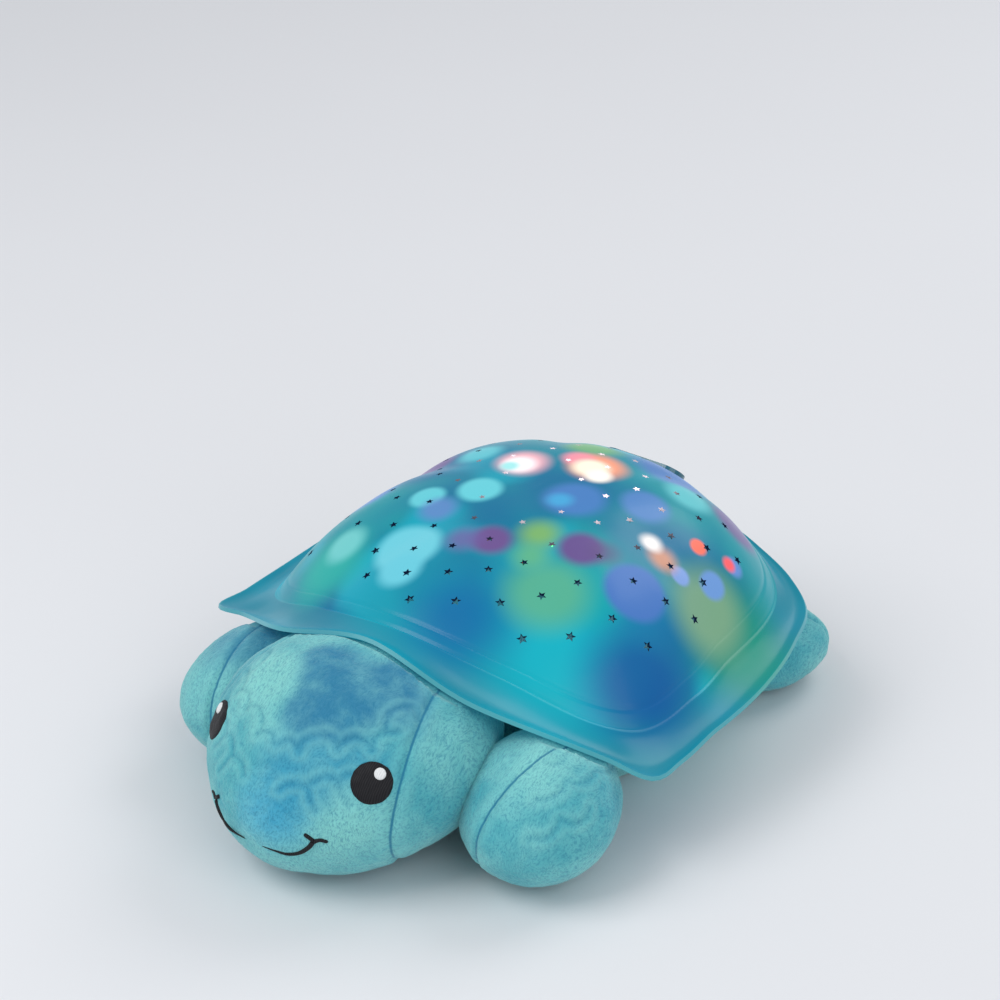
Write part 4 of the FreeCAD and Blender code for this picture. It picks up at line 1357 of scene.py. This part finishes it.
@dataclass
class StuffedForm:
    """A stuffed piece that swells along one line, from oval sections.

    Each row of sections is (distance along the line, half width, half height, middle height).
    """

    name: str
    sections: Sections
    along: Vector
    foot: Vector
    cuts: int = 66
    seams: list[Seam] = field(default_factory=list)
    stitches: list[list[Vector]] = field(default_factory=list)
    seam: Relief = Relief(1.1, 1.5, 0.35, 4.0, 3.0, 12.0, 0.0, 0.4)
    stitch: Relief = Relief(0.45, 1.0, 0.28, 3.4, 1.8, 9.0, 0.5, 0.5)
    crumple: float = 0.9
    crumple_scale: float = 0.035
    fuzz: float = 0.22
    fuzz_scale: float = 0.35
    pucker: float = 0.35
    pucker_scale: float = 0.3
    ground_softness: float = 0.8
    stitch_step: float = 0.6

    def __post_init__(self) -> None:
        """Work out the line's ends and the direction across it."""
        self.start, self.end = self.sections[0][0], self.sections[-1][0]
        self.across = Vector((-self.along.y, self.along.x, 0.0))

    def size(self, place: float, column: int) -> float:
        """Half width or half height at a distance along the line.

        Args:
            place: The distance.
            column: 1 for the half width and 2 for the half height.

        Returns:
            The size in millimetres.
        """
        rows = [(row[0], row[column]**2) for row in self.sections]
        rows[0] = (self.start, 0.0)
        rows[-1] = (self.end, 0.0)
        return math.sqrt(max(curve_value(rows, place), 0.0))

    def point(self, way: Vector) -> Vector:
        """Point of the form that a direction of the unit ball stands for.

        Args:
            way: Unit vector: x across, y along the line, z up.

        Returns:
            The point in metres.
        """
        middle = (self.start + self.end) / 2.0
        place = middle + (self.end - self.start) / 2.0 * way.y
        girth = max(math.hypot(way.x, way.z), 1e-6)
        wide = self.size(place, 1) * way.x / girth
        high = self.size(place, 2) * way.z / girth
        lift = curve_value([(row[0], row[3]) for row in self.sections], place)
        flat = self.foot + self.along * place + self.across * wide
        return Vector((flat.x, flat.y, lift + high)) * MM

    def make(self, shell: ShellForm) -> bpy.types.Object:
        """Build the form with its crumples and sewn lines, under the shell and on the ground.

        Args:
            shell: The shell that the piece stays under.

        Returns:
            The stuffed piece.
        """
        bm = bmesh.new()
        bmesh.ops.create_cube(bm, size=2.0)
        bmesh.ops.subdivide_edges(bm, edges=bm.edges, cuts=self.cuts, use_grid_fill=True)
        for vert in bm.verts:
            vert.co = self.point(self.even_ball(vert.co))
        bmesh.ops.recalc_face_normals(bm, faces=bm.faces)
        if bm.calc_volume(signed=True) < 0.0:
            bmesh.ops.reverse_faces(bm, faces=bm.faces)
        bm.normal_update()
        # Marks for painted shade in the dents and painted highlight on the swells.
        groove = bm.verts.layers.float.new("groove")
        ridge = bm.verts.layers.float.new("ridge")
        marks = self.stitch_tree(bm)
        moves = []
        for vert in bm.verts:
            point = vert.co / MM
            lift = self.crumple * noise.fractal(point * self.crumple_scale, 1.0, 2.0, 3)
            lift += self.fuzz * noise.noise(point * self.fuzz_scale)
            pucker = 1.0 + self.pucker * noise.noise(point * self.pucker_scale)
            lines = [(self.seam, abs((point - seam.place).dot(seam.normal)), pucker)
                     for seam in self.seams]
            if marks is not None:
                lines.append((self.stitch, marks.find(vert.co)[2] / MM, 1.0))
            for relief, gap, tug in lines:
                if gap < relief.reach:
                    dent, rise = relief.dent(gap), relief.rise(gap)
                    lift += relief.swell * rise - relief.depth * dent * tug
                    vert[groove] = max(vert[groove], relief.dark * dent)
                    vert[ridge] = max(vert[ridge], relief.pale * rise)
            moves.append(vert.normal * (lift * MM))
        for vert, move in zip(bm.verts, moves):
            moved = shell.tuck(vert.co + move)
            above = moved.z / MM
            moved.z = 0.5 * (above + math.sqrt(above * above + self.ground_softness)) * MM
            vert.co = moved
        return new_object(self.name, bm)

    @staticmethod
    def even_ball(corner: Vector) -> Vector:
        """Spread a cube's grid evenly over the unit ball."""
        eased = Vector([math.tan(c * math.pi / 4.0) for c in corner])
        return eased.normalized()

    def stitch_tree(self, bm: bmesh.types.BMesh) -> KDTree | None:
        """Finely spaced points of the stitched lines, dropped on the form.

        Args:
            bm: The form before it is crumpled.

        Returns:
            A tree of the points, or None where there are no lines.
        """
        if not self.stitches:
            return None
        skin = BVHTree.FromBMesh(bm)
        points: list[Vector] = []
        for line in self.stitches:
            for first, second in zip(line, line[1:]):
                steps = max(2, int((second - first).length / (self.stitch_step * MM)))
                points += [skin.find_nearest(first.lerp(second, k / steps))[0]
                           for k in range(steps + 1)]
        return point_tree(points)


def round_line(line: Line, steps: int = 6) -> list[tuple[float, float]]:
    """Smooth curve through a line's points.

    Args:
        line: Points in pixels.
        steps: Pieces between two points.

    Returns:
        More points on the smooth curve.
    """
    across, down = ([(float(k), point[axis]) for k, point in enumerate(line)] for axis in (0, 1))
    count = (len(line) - 1) * steps
    return [(curve_value(across, k / steps), curve_value(down, k / steps))
            for k in range(count + 1)]


def embossed(form: StuffedForm, coarser: int, view: PhotoView, shell: ShellForm,
             lines: Iterable[Line], sides: Sequence[float]) -> list[list[Vector]]:
    """Drop lines drawn on the photograph onto a form, found on a coarser mesh of it.

    Args:
        form: The stuffed form, before it has stitches.
        coarser: How many times coarser that mesh is.
        view: The photograph's camera.
        shell: The shell that the form stays under.
        lines: The lines in pixels.
        sides: 1 for a line as it is, -1 for one mirrored to the other side.

    Returns:
        The lines in metres on the surface.
    """
    plain = replace(form, cuts=form.cuts // coarser).make(shell)
    skin = surface_tree(plain)
    bpy.data.objects.remove(plain)
    found = [view.drop(skin, line, side) for line in lines for side in sides]
    return [points for points in found if len(points) > 1]


@dataclass
class Head:
    """Stuffed head with its face, seams and embossed scales."""

    view: PhotoView
    shell: ShellForm
    sections: Sections = (
        (94.0, 30.0, 24.0, 52.0), (96.0, 44.0, 34.0, 52.0), (118.0, 60.0, 46.0, 50.5),
        (143.0, 68.0, 49.5, 49.0), (167.0, 66.0, 48.5, 48.0), (190.0, 55.0, 42.0, 44.0),
        (206.0, 40.0, 31.5, 41.0), (217.0, 24.0, 19.5, 39.0), (222.0, 8.0, 7.0, 38.0),
        (223.0, 0.0, 0.0, 38.0))
    scale_lines: tuple[Line, ...] = (
        ((277, 744), (288, 740), (296, 745), (299, 752)),
        ((299, 752), (305, 740), (322, 735), (333, 738), (338, 748)),
        ((338, 748), (346, 740), (356, 737), (364, 740), (370, 744)),
        ((372, 750), (374, 740), (384, 733), (398, 732)),
        ((386, 730), (388, 715), (400, 707), (414, 709), (418, 718)),
        ((279, 790), (286, 785), (297, 784), (308, 787)),
        ((309, 784), (318, 779), (328, 777), (338, 781)),
        ((340, 780), (347, 775), (354, 774)),
        ((308, 787), (310, 800), (316, 812)),
        ((338, 781), (342, 794), (350, 806)),
    )
    mouth_lines: tuple[Line, ...] = (
        ((262, 846), (276, 851), (288, 854), (300, 852.5), (309, 847), (313, 842)),
        ((304, 834), (309, 837.5), (314, 841)), ((313, 842), (320, 840), (328, 842)))
    mouth_widths: tuple[tuple[float, ...], ...] = (
        (0.25, 0.5, 0.8, 1.0, 1.15, 1.1), (0.9, 1.0, 1.0), (1.1, 0.95, 0.85))
    thread_sides: int = 12
    thread_end: float = 0.4
    seam_top: tuple[float, float, float] = (42.2, -92.8, 87.6)
    seam_middle: tuple[float, float, float] = (53.8, -132.7, 66.8)
    seam_low: tuple[float, float, float] = (52.7, -140.8, 30.4)
    eye_radius: float = 9.8
    eye_swell: float = 0.9
    glint_radius: float = 2.9
    glint_swell: float = 1.65
    glint_up: float = 4.0
    glint_out: float = 3.6
    pad_wobble: float = 0.018
    pad_waves: float = 5.0
    pad_sink: float = 0.6
    pad_power: int = 6
    cuts: int = 94
    # Painted light and shade on the head: darker blue where the shell shades its top and far side,
    # paler where light falls.
    shading_patches: tuple[Patch, ...] = (
        Patch((30, -150, 74), 22, 12, SKY, 0.8), Patch((14, -157, 70), 20, 12, SKY, 0.8),
        Patch((2, -119, 97), 18, 6, BLUE), Patch((27, -114, 94), 19, 6, BLUE),
        Patch((9, -138, 86), 15, 6, BLUE), Patch((34, -104, 94), 14, 7, BLUE, 0.9),
        Patch((22, -132, 84), 12, 7, BLUE, 0.7), Patch((42, -112, 86), 12, 7, BLUE, 0.7),
        Patch((8, -172, 50), 15, 12, BRIGHT, 0.9), Patch((16, -170, 60), 12, 10, SKY, 0.7),
        Patch((-27, -132, 88), 18, 8, PALE, 0.9), Patch((-14, -150, 78), 9, 6, PALE, 0.5),
        Patch((44, -152, 48), 14, 10, PALE, 0.8), Patch((36, -166, 40), 10, 8, PALE, 0.6),
        Patch((60, -107, 70), 15, 12, PALE, 0.45), Patch((-56, -112, 72), 20, 12, BLUE, 0.5))

    def seams(self) -> list[Seam]:
        """Seams through three points on each cheek.

        Returns:
            The left seam and the right one.
        """
        found = []
        for side in (1.0, -1.0):
            a, b, c = (Vector((side * p[0], p[1], p[2]))
                       for p in (self.seam_top, self.seam_middle, self.seam_low))
            found.append(Seam(b, (b - a).cross(c - a).normalized()))
        return found

    def make(self, groups: Groups, thread: bpy.types.Material, white: bpy.types.Material) -> None:
        """Build the head and its face.

        Args:
            groups: Shared shader groups.
            thread: Black embroidery.
            white: White embroidery.
        """
        form = StuffedForm("head_plush", self.sections, Vector((0, -1, 0)), Vector((0, AXIS_Y, 0)),
                           cuts=self.cuts)
        form.stitches = embossed(form, 3, self.view, self.shell, self.scale_lines, (1.0, -1.0))
        form.seams = self.seams()
        head = form.make(self.shell)
        velour = Velour("plush_head", shading_patches=self.shading_patches, seams=tuple(form.seams))
        dress(head, Slot.PLUSH, velour.make(groups))
        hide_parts("head")
        skin = surface_tree(head)
        for label, side in (("left", 1.0), ("right", -1.0)):
            self.make_eye("eye_" + label, side, skin, thread, white)
        for label, side in (("left", 1.0), ("right", -1.0)):
            self.make_smile(label, side, skin, thread)

    def make_eye(self, name: str, side: float, skin: BVHTree, thread: bpy.types.Material,
                 white: bpy.types.Material) -> None:
        """Embroidered eye with its glint, laid on the head.

        Args:
            name: The CAD node that it replaces.
            side: 1 for the turtle's left, -1 for its right.
            skin: The head's surface.
            thread: Black embroidery.
            white: White embroidery.
        """
        low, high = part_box(name)
        centre = (low + high) / 2.0
        spot, normal = skin.find_nearest(centre)[:2]
        eye = self.make_patch(name + "_stitched", spot, normal, self.eye_radius,
                              self.eye_swell, skin)
        dress(eye, Slot.EYE, thread)
        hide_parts(name)
        up = (UP - normal * normal.z).normalized()
        beside = up.cross(normal)
        aim = spot + (up * self.glint_up + beside * (self.glint_out * side)) * MM
        spot, normal = skin.find_nearest(aim)[:2]
        glint = self.make_patch(name + "_glint", spot, normal, self.glint_radius,
                                self.glint_swell, skin)
        dress(glint, Slot.EYE, white)

    def make_patch(self, name: str, spot: Vector, normal: Vector, radius: float, swell: float,
                   skin: BVHTree) -> bpy.types.Object:
        """Round embroidered patch that follows the surface and swells a little.

        Args:
            name: The piece's name.
            spot: Its centre on the surface.
            normal: The surface's direction there.
            radius: Its radius in millimetres.
            swell: Its height at the middle in millimetres.
            skin: The surface.

        Returns:
            The patch as a closed pad.
        """
        bm = bmesh.new()
        bmesh.ops.create_uvsphere(bm, u_segments=72, v_segments=36, radius=1.0)
        turn = UP.rotation_difference(normal).to_matrix()
        for vert in bm.verts:
            spread = Vector((vert.co.x, vert.co.y, 0.0))
            wobble = 1.0 + self.pad_wobble * noise.noise(spread * self.pad_waves)
            flat = turn @ Vector((vert.co.x * wobble, vert.co.y * wobble, 0.0)) * (radius * MM)
            foot, out = skin.find_nearest(spot + flat)[:2]
            girth = min(math.hypot(vert.co.x, vert.co.y), 1.0)
            crown = swell * math.sqrt(1.0 - girth**self.pad_power)
            lift = crown if vert.co.z > 0.0 else -self.pad_sink
            vert.co = foot + out * (lift * MM)
        return new_object(name, bm)

    def make_smile(self, label: str, side: float, skin: BVHTree,
                   thread: bpy.types.Material) -> None:
        """Embroidered half of the mouth with its cheek tick.

        Args:
            label: Side for the piece's name.
            side: 1 for the turtle's left, -1 for its right.
            skin: The head's surface.
            thread: Black embroidery.
        """
        bm = bmesh.new()
        for line, widths in zip(self.mouth_lines, self.mouth_widths):
            self.add_stitch(bm, self.view.drop(skin, line, side), widths)
        dress(new_object("mouth_" + label, bm), Slot.EYE, thread)

    def add_stitch(self, bm: bmesh.types.BMesh, line: list[Vector],
                   widths: Sequence[float]) -> None:
        """Add a padded thread line with rounded ends.

        Args:
            bm: The mesh it goes into.
            line: Points on the surface.
            widths: Half widths in millimetres along it.
        """
        if len(line) < 3:
            return
        rows = [(float(k), w) for k, w in enumerate(widths)]
        loops = []
        for index, point in enumerate(line):
            ahead = line[min(index + 1, len(line) - 1)] - line[max(index - 1, 0)]
            turn = UP.rotation_difference(ahead.normalized()).to_matrix().to_4x4()
            reach = curve_value(rows, index / (len(line) - 1) * (len(widths) - 1))
            if index in (0, len(line) - 1):
                reach *= self.thread_end
            made = bmesh.ops.create_circle(bm, segments=self.thread_sides, radius=reach * MM,
                                           matrix=Matrix.Translation(point) @ turn)
            loops.append(list({e for v in made["verts"] for e in v.link_edges}))
        for first, second in zip(loops, loops[1:]):
            bmesh.ops.bridge_loops(bm, edges=first + second)
        for loop in (loops[0], loops[-1]):
            bmesh.ops.contextual_create(bm, geom=loop)
        bmesh.ops.recalc_face_normals(bm, faces=bm.faces)


@dataclass
class Flipper:
    """Stuffed flipper with an edge seam and embossed scales."""

    node: str
    x: float
    y: float
    width: float
    length: float
    height: float
    turned: float
    seam_tilt: float = 25.0
    seam_shift: float = 0.05
    seam_lean: float = -0.22
    rest_flat: float = 0.5
    lines: tuple[Line, ...] = ()
    shading_patches: tuple[Patch, ...] = ()
    steps: int = 8
    cuts: int = 56

    def form(self) -> StuffedForm:
        """The flipper's swelling form.

        Returns:
            The form with its edge seam.
        """
        turn = math.radians(self.turned)
        along = Vector((math.sin(turn), -math.cos(turn), 0.0))
        across = Vector((-along.y, along.x, 0.0))
        middle = self.height - self.rest_flat
        rows = []
        for index in range(self.steps + 1):
            share = -math.cos(math.pi * index / self.steps)
            swell = math.sqrt(max(1.0 - share * share, 0.0))
            rows.append((share * self.length, self.width * swell, self.height * swell, middle))
        foot = Vector((self.x, self.y + AXIS_Y, 0.0))
        shape = StuffedForm(self.node + "_plush", tuple(rows), along, foot, cuts=self.cuts)
        tilt = math.radians(self.seam_tilt)
        place = foot + UP * middle - across * (self.seam_shift * self.width)
        normal = across * math.cos(tilt) + along * math.sin(tilt) + UP * self.seam_lean
        shape.seams = [Seam(place, normal.normalized())]
        return shape

    def make(self, view: PhotoView, shell: ShellForm, groups: Groups) -> None:
        """Build and dress the flipper.

        Args:
            view: The photograph's camera.
            shell: The shell that it stays under.
            groups: Shared shader groups.
        """
        shape = self.form()
        if self.lines:
            shape.stitches = embossed(shape, 2, view, shell, self.lines, (1.0,))
        flipper = shape.make(shell)
        velour = Velour("plush_" + self.node, shading_patches=self.shading_patches, seams=tuple(shape.seams))
        dress(flipper, Slot.PLUSH, velour.make(groups))
        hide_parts(self.node)


@dataclass
class Torso:
    """Stuffed body under the shell, with a well for the battery housing, and the tail."""

    shell: ShellForm
    middle: float = -6.0
    rows: tuple[tuple[float, float, float], ...] = (
        (0.0, 78.0, 84.0), (1.2, 82.5, 88.5), (8.0, 89.0, 95.0), (26.0, 95.0, 101.0),
        (44.0, 95.0, 101.0), (55.7, 90.0, 97.0))
    sectors: int = 240
    rings: int = 34
    ring_power: float = 1.4  # crowds the rings near the ground
    swell: float = 0.004
    ripple: float = 0.010
    seam_width: float = 1.4
    seam_dent: float = 0.012
    flat_ends: tuple[float, float] = (0.5, 55.0)
    sharp_angle: float = 60.0
    well: tuple[float, float] = (84.8, 54.8)
    seam_height: float = 30.0
    tail: Sections = (
        (82.0, 12.0, 9.0, 20.0), (84.0, 17.0, 12.0, 20.0), (98.0, 15.0, 10.5, 17.0),
        (110.0, 11.0, 8.0, 13.5), (120.0, 6.0, 4.5, 10.0), (126.0, 2.0, 1.6, 8.5),
        (126.5, 0.0, 0.0, 8.5))

    def make(self, plush: bpy.types.Material) -> None:
        """Build and dress the torso and the tail.

        Args:
            plush: Their finish.
        """
        bm = bmesh.new()
        groove = bm.verts.layers.float.new("groove")
        foot = bmesh.ops.create_circle(bm, cap_ends=True, segments=self.sectors, radius=1.0)
        loop = sorted(foot["verts"], key=lambda v: math.atan2(v.co.x, v.co.y))
        turns = [math.atan2(v.co.x, v.co.y) for v in loop]
        self.ring(loop, turns, self.rows[0][0], groove)
        top = self.rows[-1][0]
        for index in range(1, self.rings + 1):
            loop = grow_ring(bm, loop)
            self.ring(loop, turns, top * (index / self.rings)**self.ring_power, groove)
        bmesh.ops.contextual_create(bm, geom=loop)
        bmesh.ops.recalc_face_normals(bm, faces=bm.faces)
        torso = new_object("torso_plush", bm)
        torso.data.set_sharp_from_angle(angle=math.radians(self.sharp_angle))
        self.cut_well(torso)
        dress(torso, Slot.PLUSH, plush)
        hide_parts("torso")
        form = StuffedForm("tail_plush", self.tail, Vector((0, 1, 0)), Vector((0, AXIS_Y, 0)),
                           cuts=24, crumple=0.3)
        tail = form.make(self.shell)
        dress(tail, Slot.PLUSH, plush)
        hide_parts("tail")

    def ring(self, loop: list[bmesh.types.BMVert], turns: list[float], height: float,
             groove: bmesh.types.BMLayerItem) -> None:
        """Place one ring of the torso's side.

        Args:
            loop: The ring's vertices in order.
            turns: Their angles.
            height: Height in millimetres.
            groove: Layer that marks the seam.
        """
        wide = curve_value([(r[0], r[1]) for r in self.rows], height)
        long = curve_value([(r[0], r[2]) for r in self.rows], height)
        seam = math.exp(-((height - self.seam_height) / self.seam_width)**2)
        low, high = self.flat_ends
        for vert, turn in zip(loop, turns):
            point = Vector((math.sin(turn), math.cos(turn), height * 0.03))
            pucker = 1.0 + self.swell * noise.fractal(point * 6.0, 1.0, 2.0, 3)
            pucker += self.ripple * noise.noise(point * 2.0)
            if low < height < high:
                pucker -= self.seam_dent * seam
            vert[groove] = seam
            x, y = math.sin(turn) * wide * pucker, math.cos(turn) * long * pucker
            vert.co = Vector((x, y + self.middle + AXIS_Y, height)) * MM

    def cut_well(self, torso: bpy.types.Object) -> None:
        """Cut the well for the battery housing.

        Args:
            torso: The closed torso.
        """
        bm = bmesh.new()
        bmesh.ops.create_cube(bm, size=1.0)
        size = (self.well[0] * MM, self.well[1] * MM, 0.2)
        bmesh.ops.scale(bm, vec=size, verts=bm.verts)
        bmesh.ops.translate(bm, vec=SHELL_AXIS, verts=bm.verts)
        cut_away(torso, new_object("well", bm))


@dataclass
class Hardware:
    """Finishes of the rigid pieces that keep their own solids."""

    groups: Groups

    def finishes(self) -> dict[str, bpy.types.Material]:
        """Build the finish of each node that stays.

        Returns:
            The finishes by node.
        """
        tray = Plastic("tray_white", (0.74, 0.76, 0.74), 0.45).make(self.groups)
        panel = Plastic("panel_teal", (0.02, 0.16, 0.22), 0.22, 900.0, 0.4).make(self.groups)
        button = Plastic("button_ivory", (0.80, 0.80, 0.74), 0.4, 2400.0).make(self.groups)
        housing = Plastic("housing_teal", (0.05, 0.24, 0.28), 0.5, 1500.0).make(self.groups)
        door = Plastic("door_teal", (0.06, 0.28, 0.32), 0.42, 1500.0).make(self.groups)
        board = Plastic("board_green", (0.02, 0.14, 0.05), 0.3, 3000.0).make(self.groups)
        switch = Plastic("switch_black", (0.02, 0.02, 0.022), 0.4).make(self.groups)
        sleeve = Plastic("cell_sleeve", (0.10, 0.11, 0.13), 0.28, 900.0).make(self.groups)
        lead = Plastic("lead_red", (0.45, 0.03, 0.02), 0.5).make(self.groups)
        steel = Metal("screw_steel", (0.56, 0.56, 0.58), 0.32).make(self.groups)
        nickel = Metal("contact_nickel", (0.72, 0.70, 0.64), 0.22).make(self.groups)
        found = {"base_tray": tray, "lamp_tower": tray, "control_panel": panel,
                 "battery_housing": housing, "battery_door": door, "led_board": board,
                 "control_board": board, "tact_switches": switch, "battery_lead": lead,
                 "lamp_lead": lead, "shell_screws": steel, "housing_screws": steel,
                 "door_screw": steel, "contact_springs": nickel, "contact_plates": nickel}
        for index in (1, 2, 3):
            found["battery_" + str(index)] = sleeve
        for label in ("power", "colour", "timer"):
            found["button_" + label] = button
        colours = {"red": (1.0, 0.06, 0.05), "green": (0.06, 0.9, 0.2), "blue": (0.06, 0.2, 1.0),
                   "amber": (1.0, 0.5, 0.05)}
        for label, colour in colours.items():
            found["led_" + label] = Lens("lens_" + label, colour).make(self.groups)
        return found

    def dress(self) -> None:
        """Put each finish on its node."""
        for node, finish in self.finishes().items():
            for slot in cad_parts[node].material_slots:
                slot.link = "OBJECT"
                slot.material = finish
            log.info("%s: %s", node, finish.name)


@dataclass
class Studio:
    """Pale floor, soft lamps and an even world."""

    floor_colour: Colour = (0.80, 0.81, 0.83)
    floor_size: float = 8.0
    floor_gap: float = 0.0001
    world_colour: Colour = (0.93, 0.95, 1.0)
    world_light: float = 0.5
    aim: Vector = field(default_factory=lambda: Vector((0.0, 0.0, 0.06)))

    def make(self) -> None:
        """Build the floor, the lamps and the world."""
        bm = bmesh.new()
        bmesh.ops.create_grid(bm, x_segments=2, y_segments=2, size=self.floor_size / 2.0)
        bmesh.ops.translate(bm, vec=(0.0, 0.0, -self.floor_gap), verts=bm.verts)
        floor = new_object("floor", bm)
        material, sheet, shader = new_material("floor_paper")
        tone = sheet.texture("Noise", sheet.place(), Scale=3.0)
        faint = tuple(0.97 * part for part in self.floor_colour)
        paper = sheet.mix(tone.outputs["Fac"], self.floor_colour, faint)
        sheet.join(paper, shader.inputs["Base Color"])
        settle(shader, Roughness=0.8)
        floor.data.materials.append(material)
        self.lamp("key", (-0.7, -1.2, 1.6), 1.3, 19.0)
        self.lamp("fill", (1.6, -0.6, 1.1), 1.4, 8.5)
        self.lamp("back", (0.3, 1.6, 1.5), 1.2, 12.0)
        world = bpy.data.worlds.new("studio")
        world.use_nodes = True
        background = world.node_tree.nodes["Background"]
        background.inputs["Color"].default_value = (*self.world_colour, 1.0)
        background.inputs["Strength"].default_value = self.world_light
        bpy.context.scene.world = world

    def lamp(self, name: str, place: tuple[float, float, float], size: float,
             power: float) -> None:
        """Add a square area lamp that points at the object.

        Args:
            name: The lamp's name.
            place: Where it stands, in metres.
            size: Its side in metres.
            power: Its power in watts.
        """
        data = bpy.data.lights.new(name, "AREA")
        data.size = size
        data.energy = power
        lamp = bpy.data.objects.new(name, data)
        turn = (self.aim - Vector(place)).to_track_quat("-Z", "Y").to_matrix().to_4x4()
        lamp.matrix_world = Matrix.Translation(place) @ turn
        bpy.context.collection.objects.link(lamp)


FLIPPERS = (
    Flipper("flipper_front_left", 88.0, -122.0, 37.0, 45.0, 33.0, 20.0,
            lines=(((536, 800), (552, 797), (562, 790), (566, 780)),
                   ((566, 780), (578, 784), (590, 780), (596, 770)),
                   ((596, 770), (606, 772), (614, 766), (618, 756)),
                   ((544, 762), (556, 764), (566, 758), (570, 748)),
                   ((530, 838), (546, 838), (556, 830), (560, 820)),
                   ((560, 820), (574, 824), (586, 818), (590, 808))),
            # Painted light and shade: paler on the flipper's top, darker on its outer side.
            shading_patches=(Patch((96, -84, 62), 14, 10, PALE, 0.5),
                  Patch((112, -66, 40), 14, 12, SKY, 0.4))),
    Flipper("flipper_front_right", -80.0, -121.0, 36.0, 44.0, 33.0, -12.0, -20.0, 0.1, 0.1,
            # Painted shade: darker blue where the brim hangs over the flipper, darker on its outer
            # side.
            shading_patches=(Patch((-84, -76, 58), 22, 12, BLUE, 0.9),
                  Patch((-112, -70, 44), 12, 10, SKY, 0.7))),
    Flipper("flipper_rear_left", 80.0, 80.0, 28.0, 38.0, 20.0, 160.0),
    Flipper("flipper_rear_right", -80.0, 80.0, 28.0, 38.0, 20.0, 200.0),
)


def main() -> None:
    """Build every piece and the studio round the frame."""
    groups = Groups()
    view = PhotoView()
    view.make()
    form = ShellForm()
    StarShell(form).make(GlowingShell().make(groups), StarWall().make(groups))
    thread = Satin("thread_black", (0.006, 0.006, 0.008), (0.03, 0.03, 0.035)).make()
    white = Satin("thread_white", (0.82, 0.84, 0.84), (0.95, 0.96, 0.96)).make()
    Head(view, form).make(groups, thread, white)
    for flipper in FLIPPERS:
        flipper.make(view, form, groups)
    Torso(form).make(Velour("plush_body").make(groups))
    Hardware(groups).dress()
    Studio().make()
    bpy.context.scene.view_settings.view_transform = "Standard"


if __name__ == "__main__":
    main()
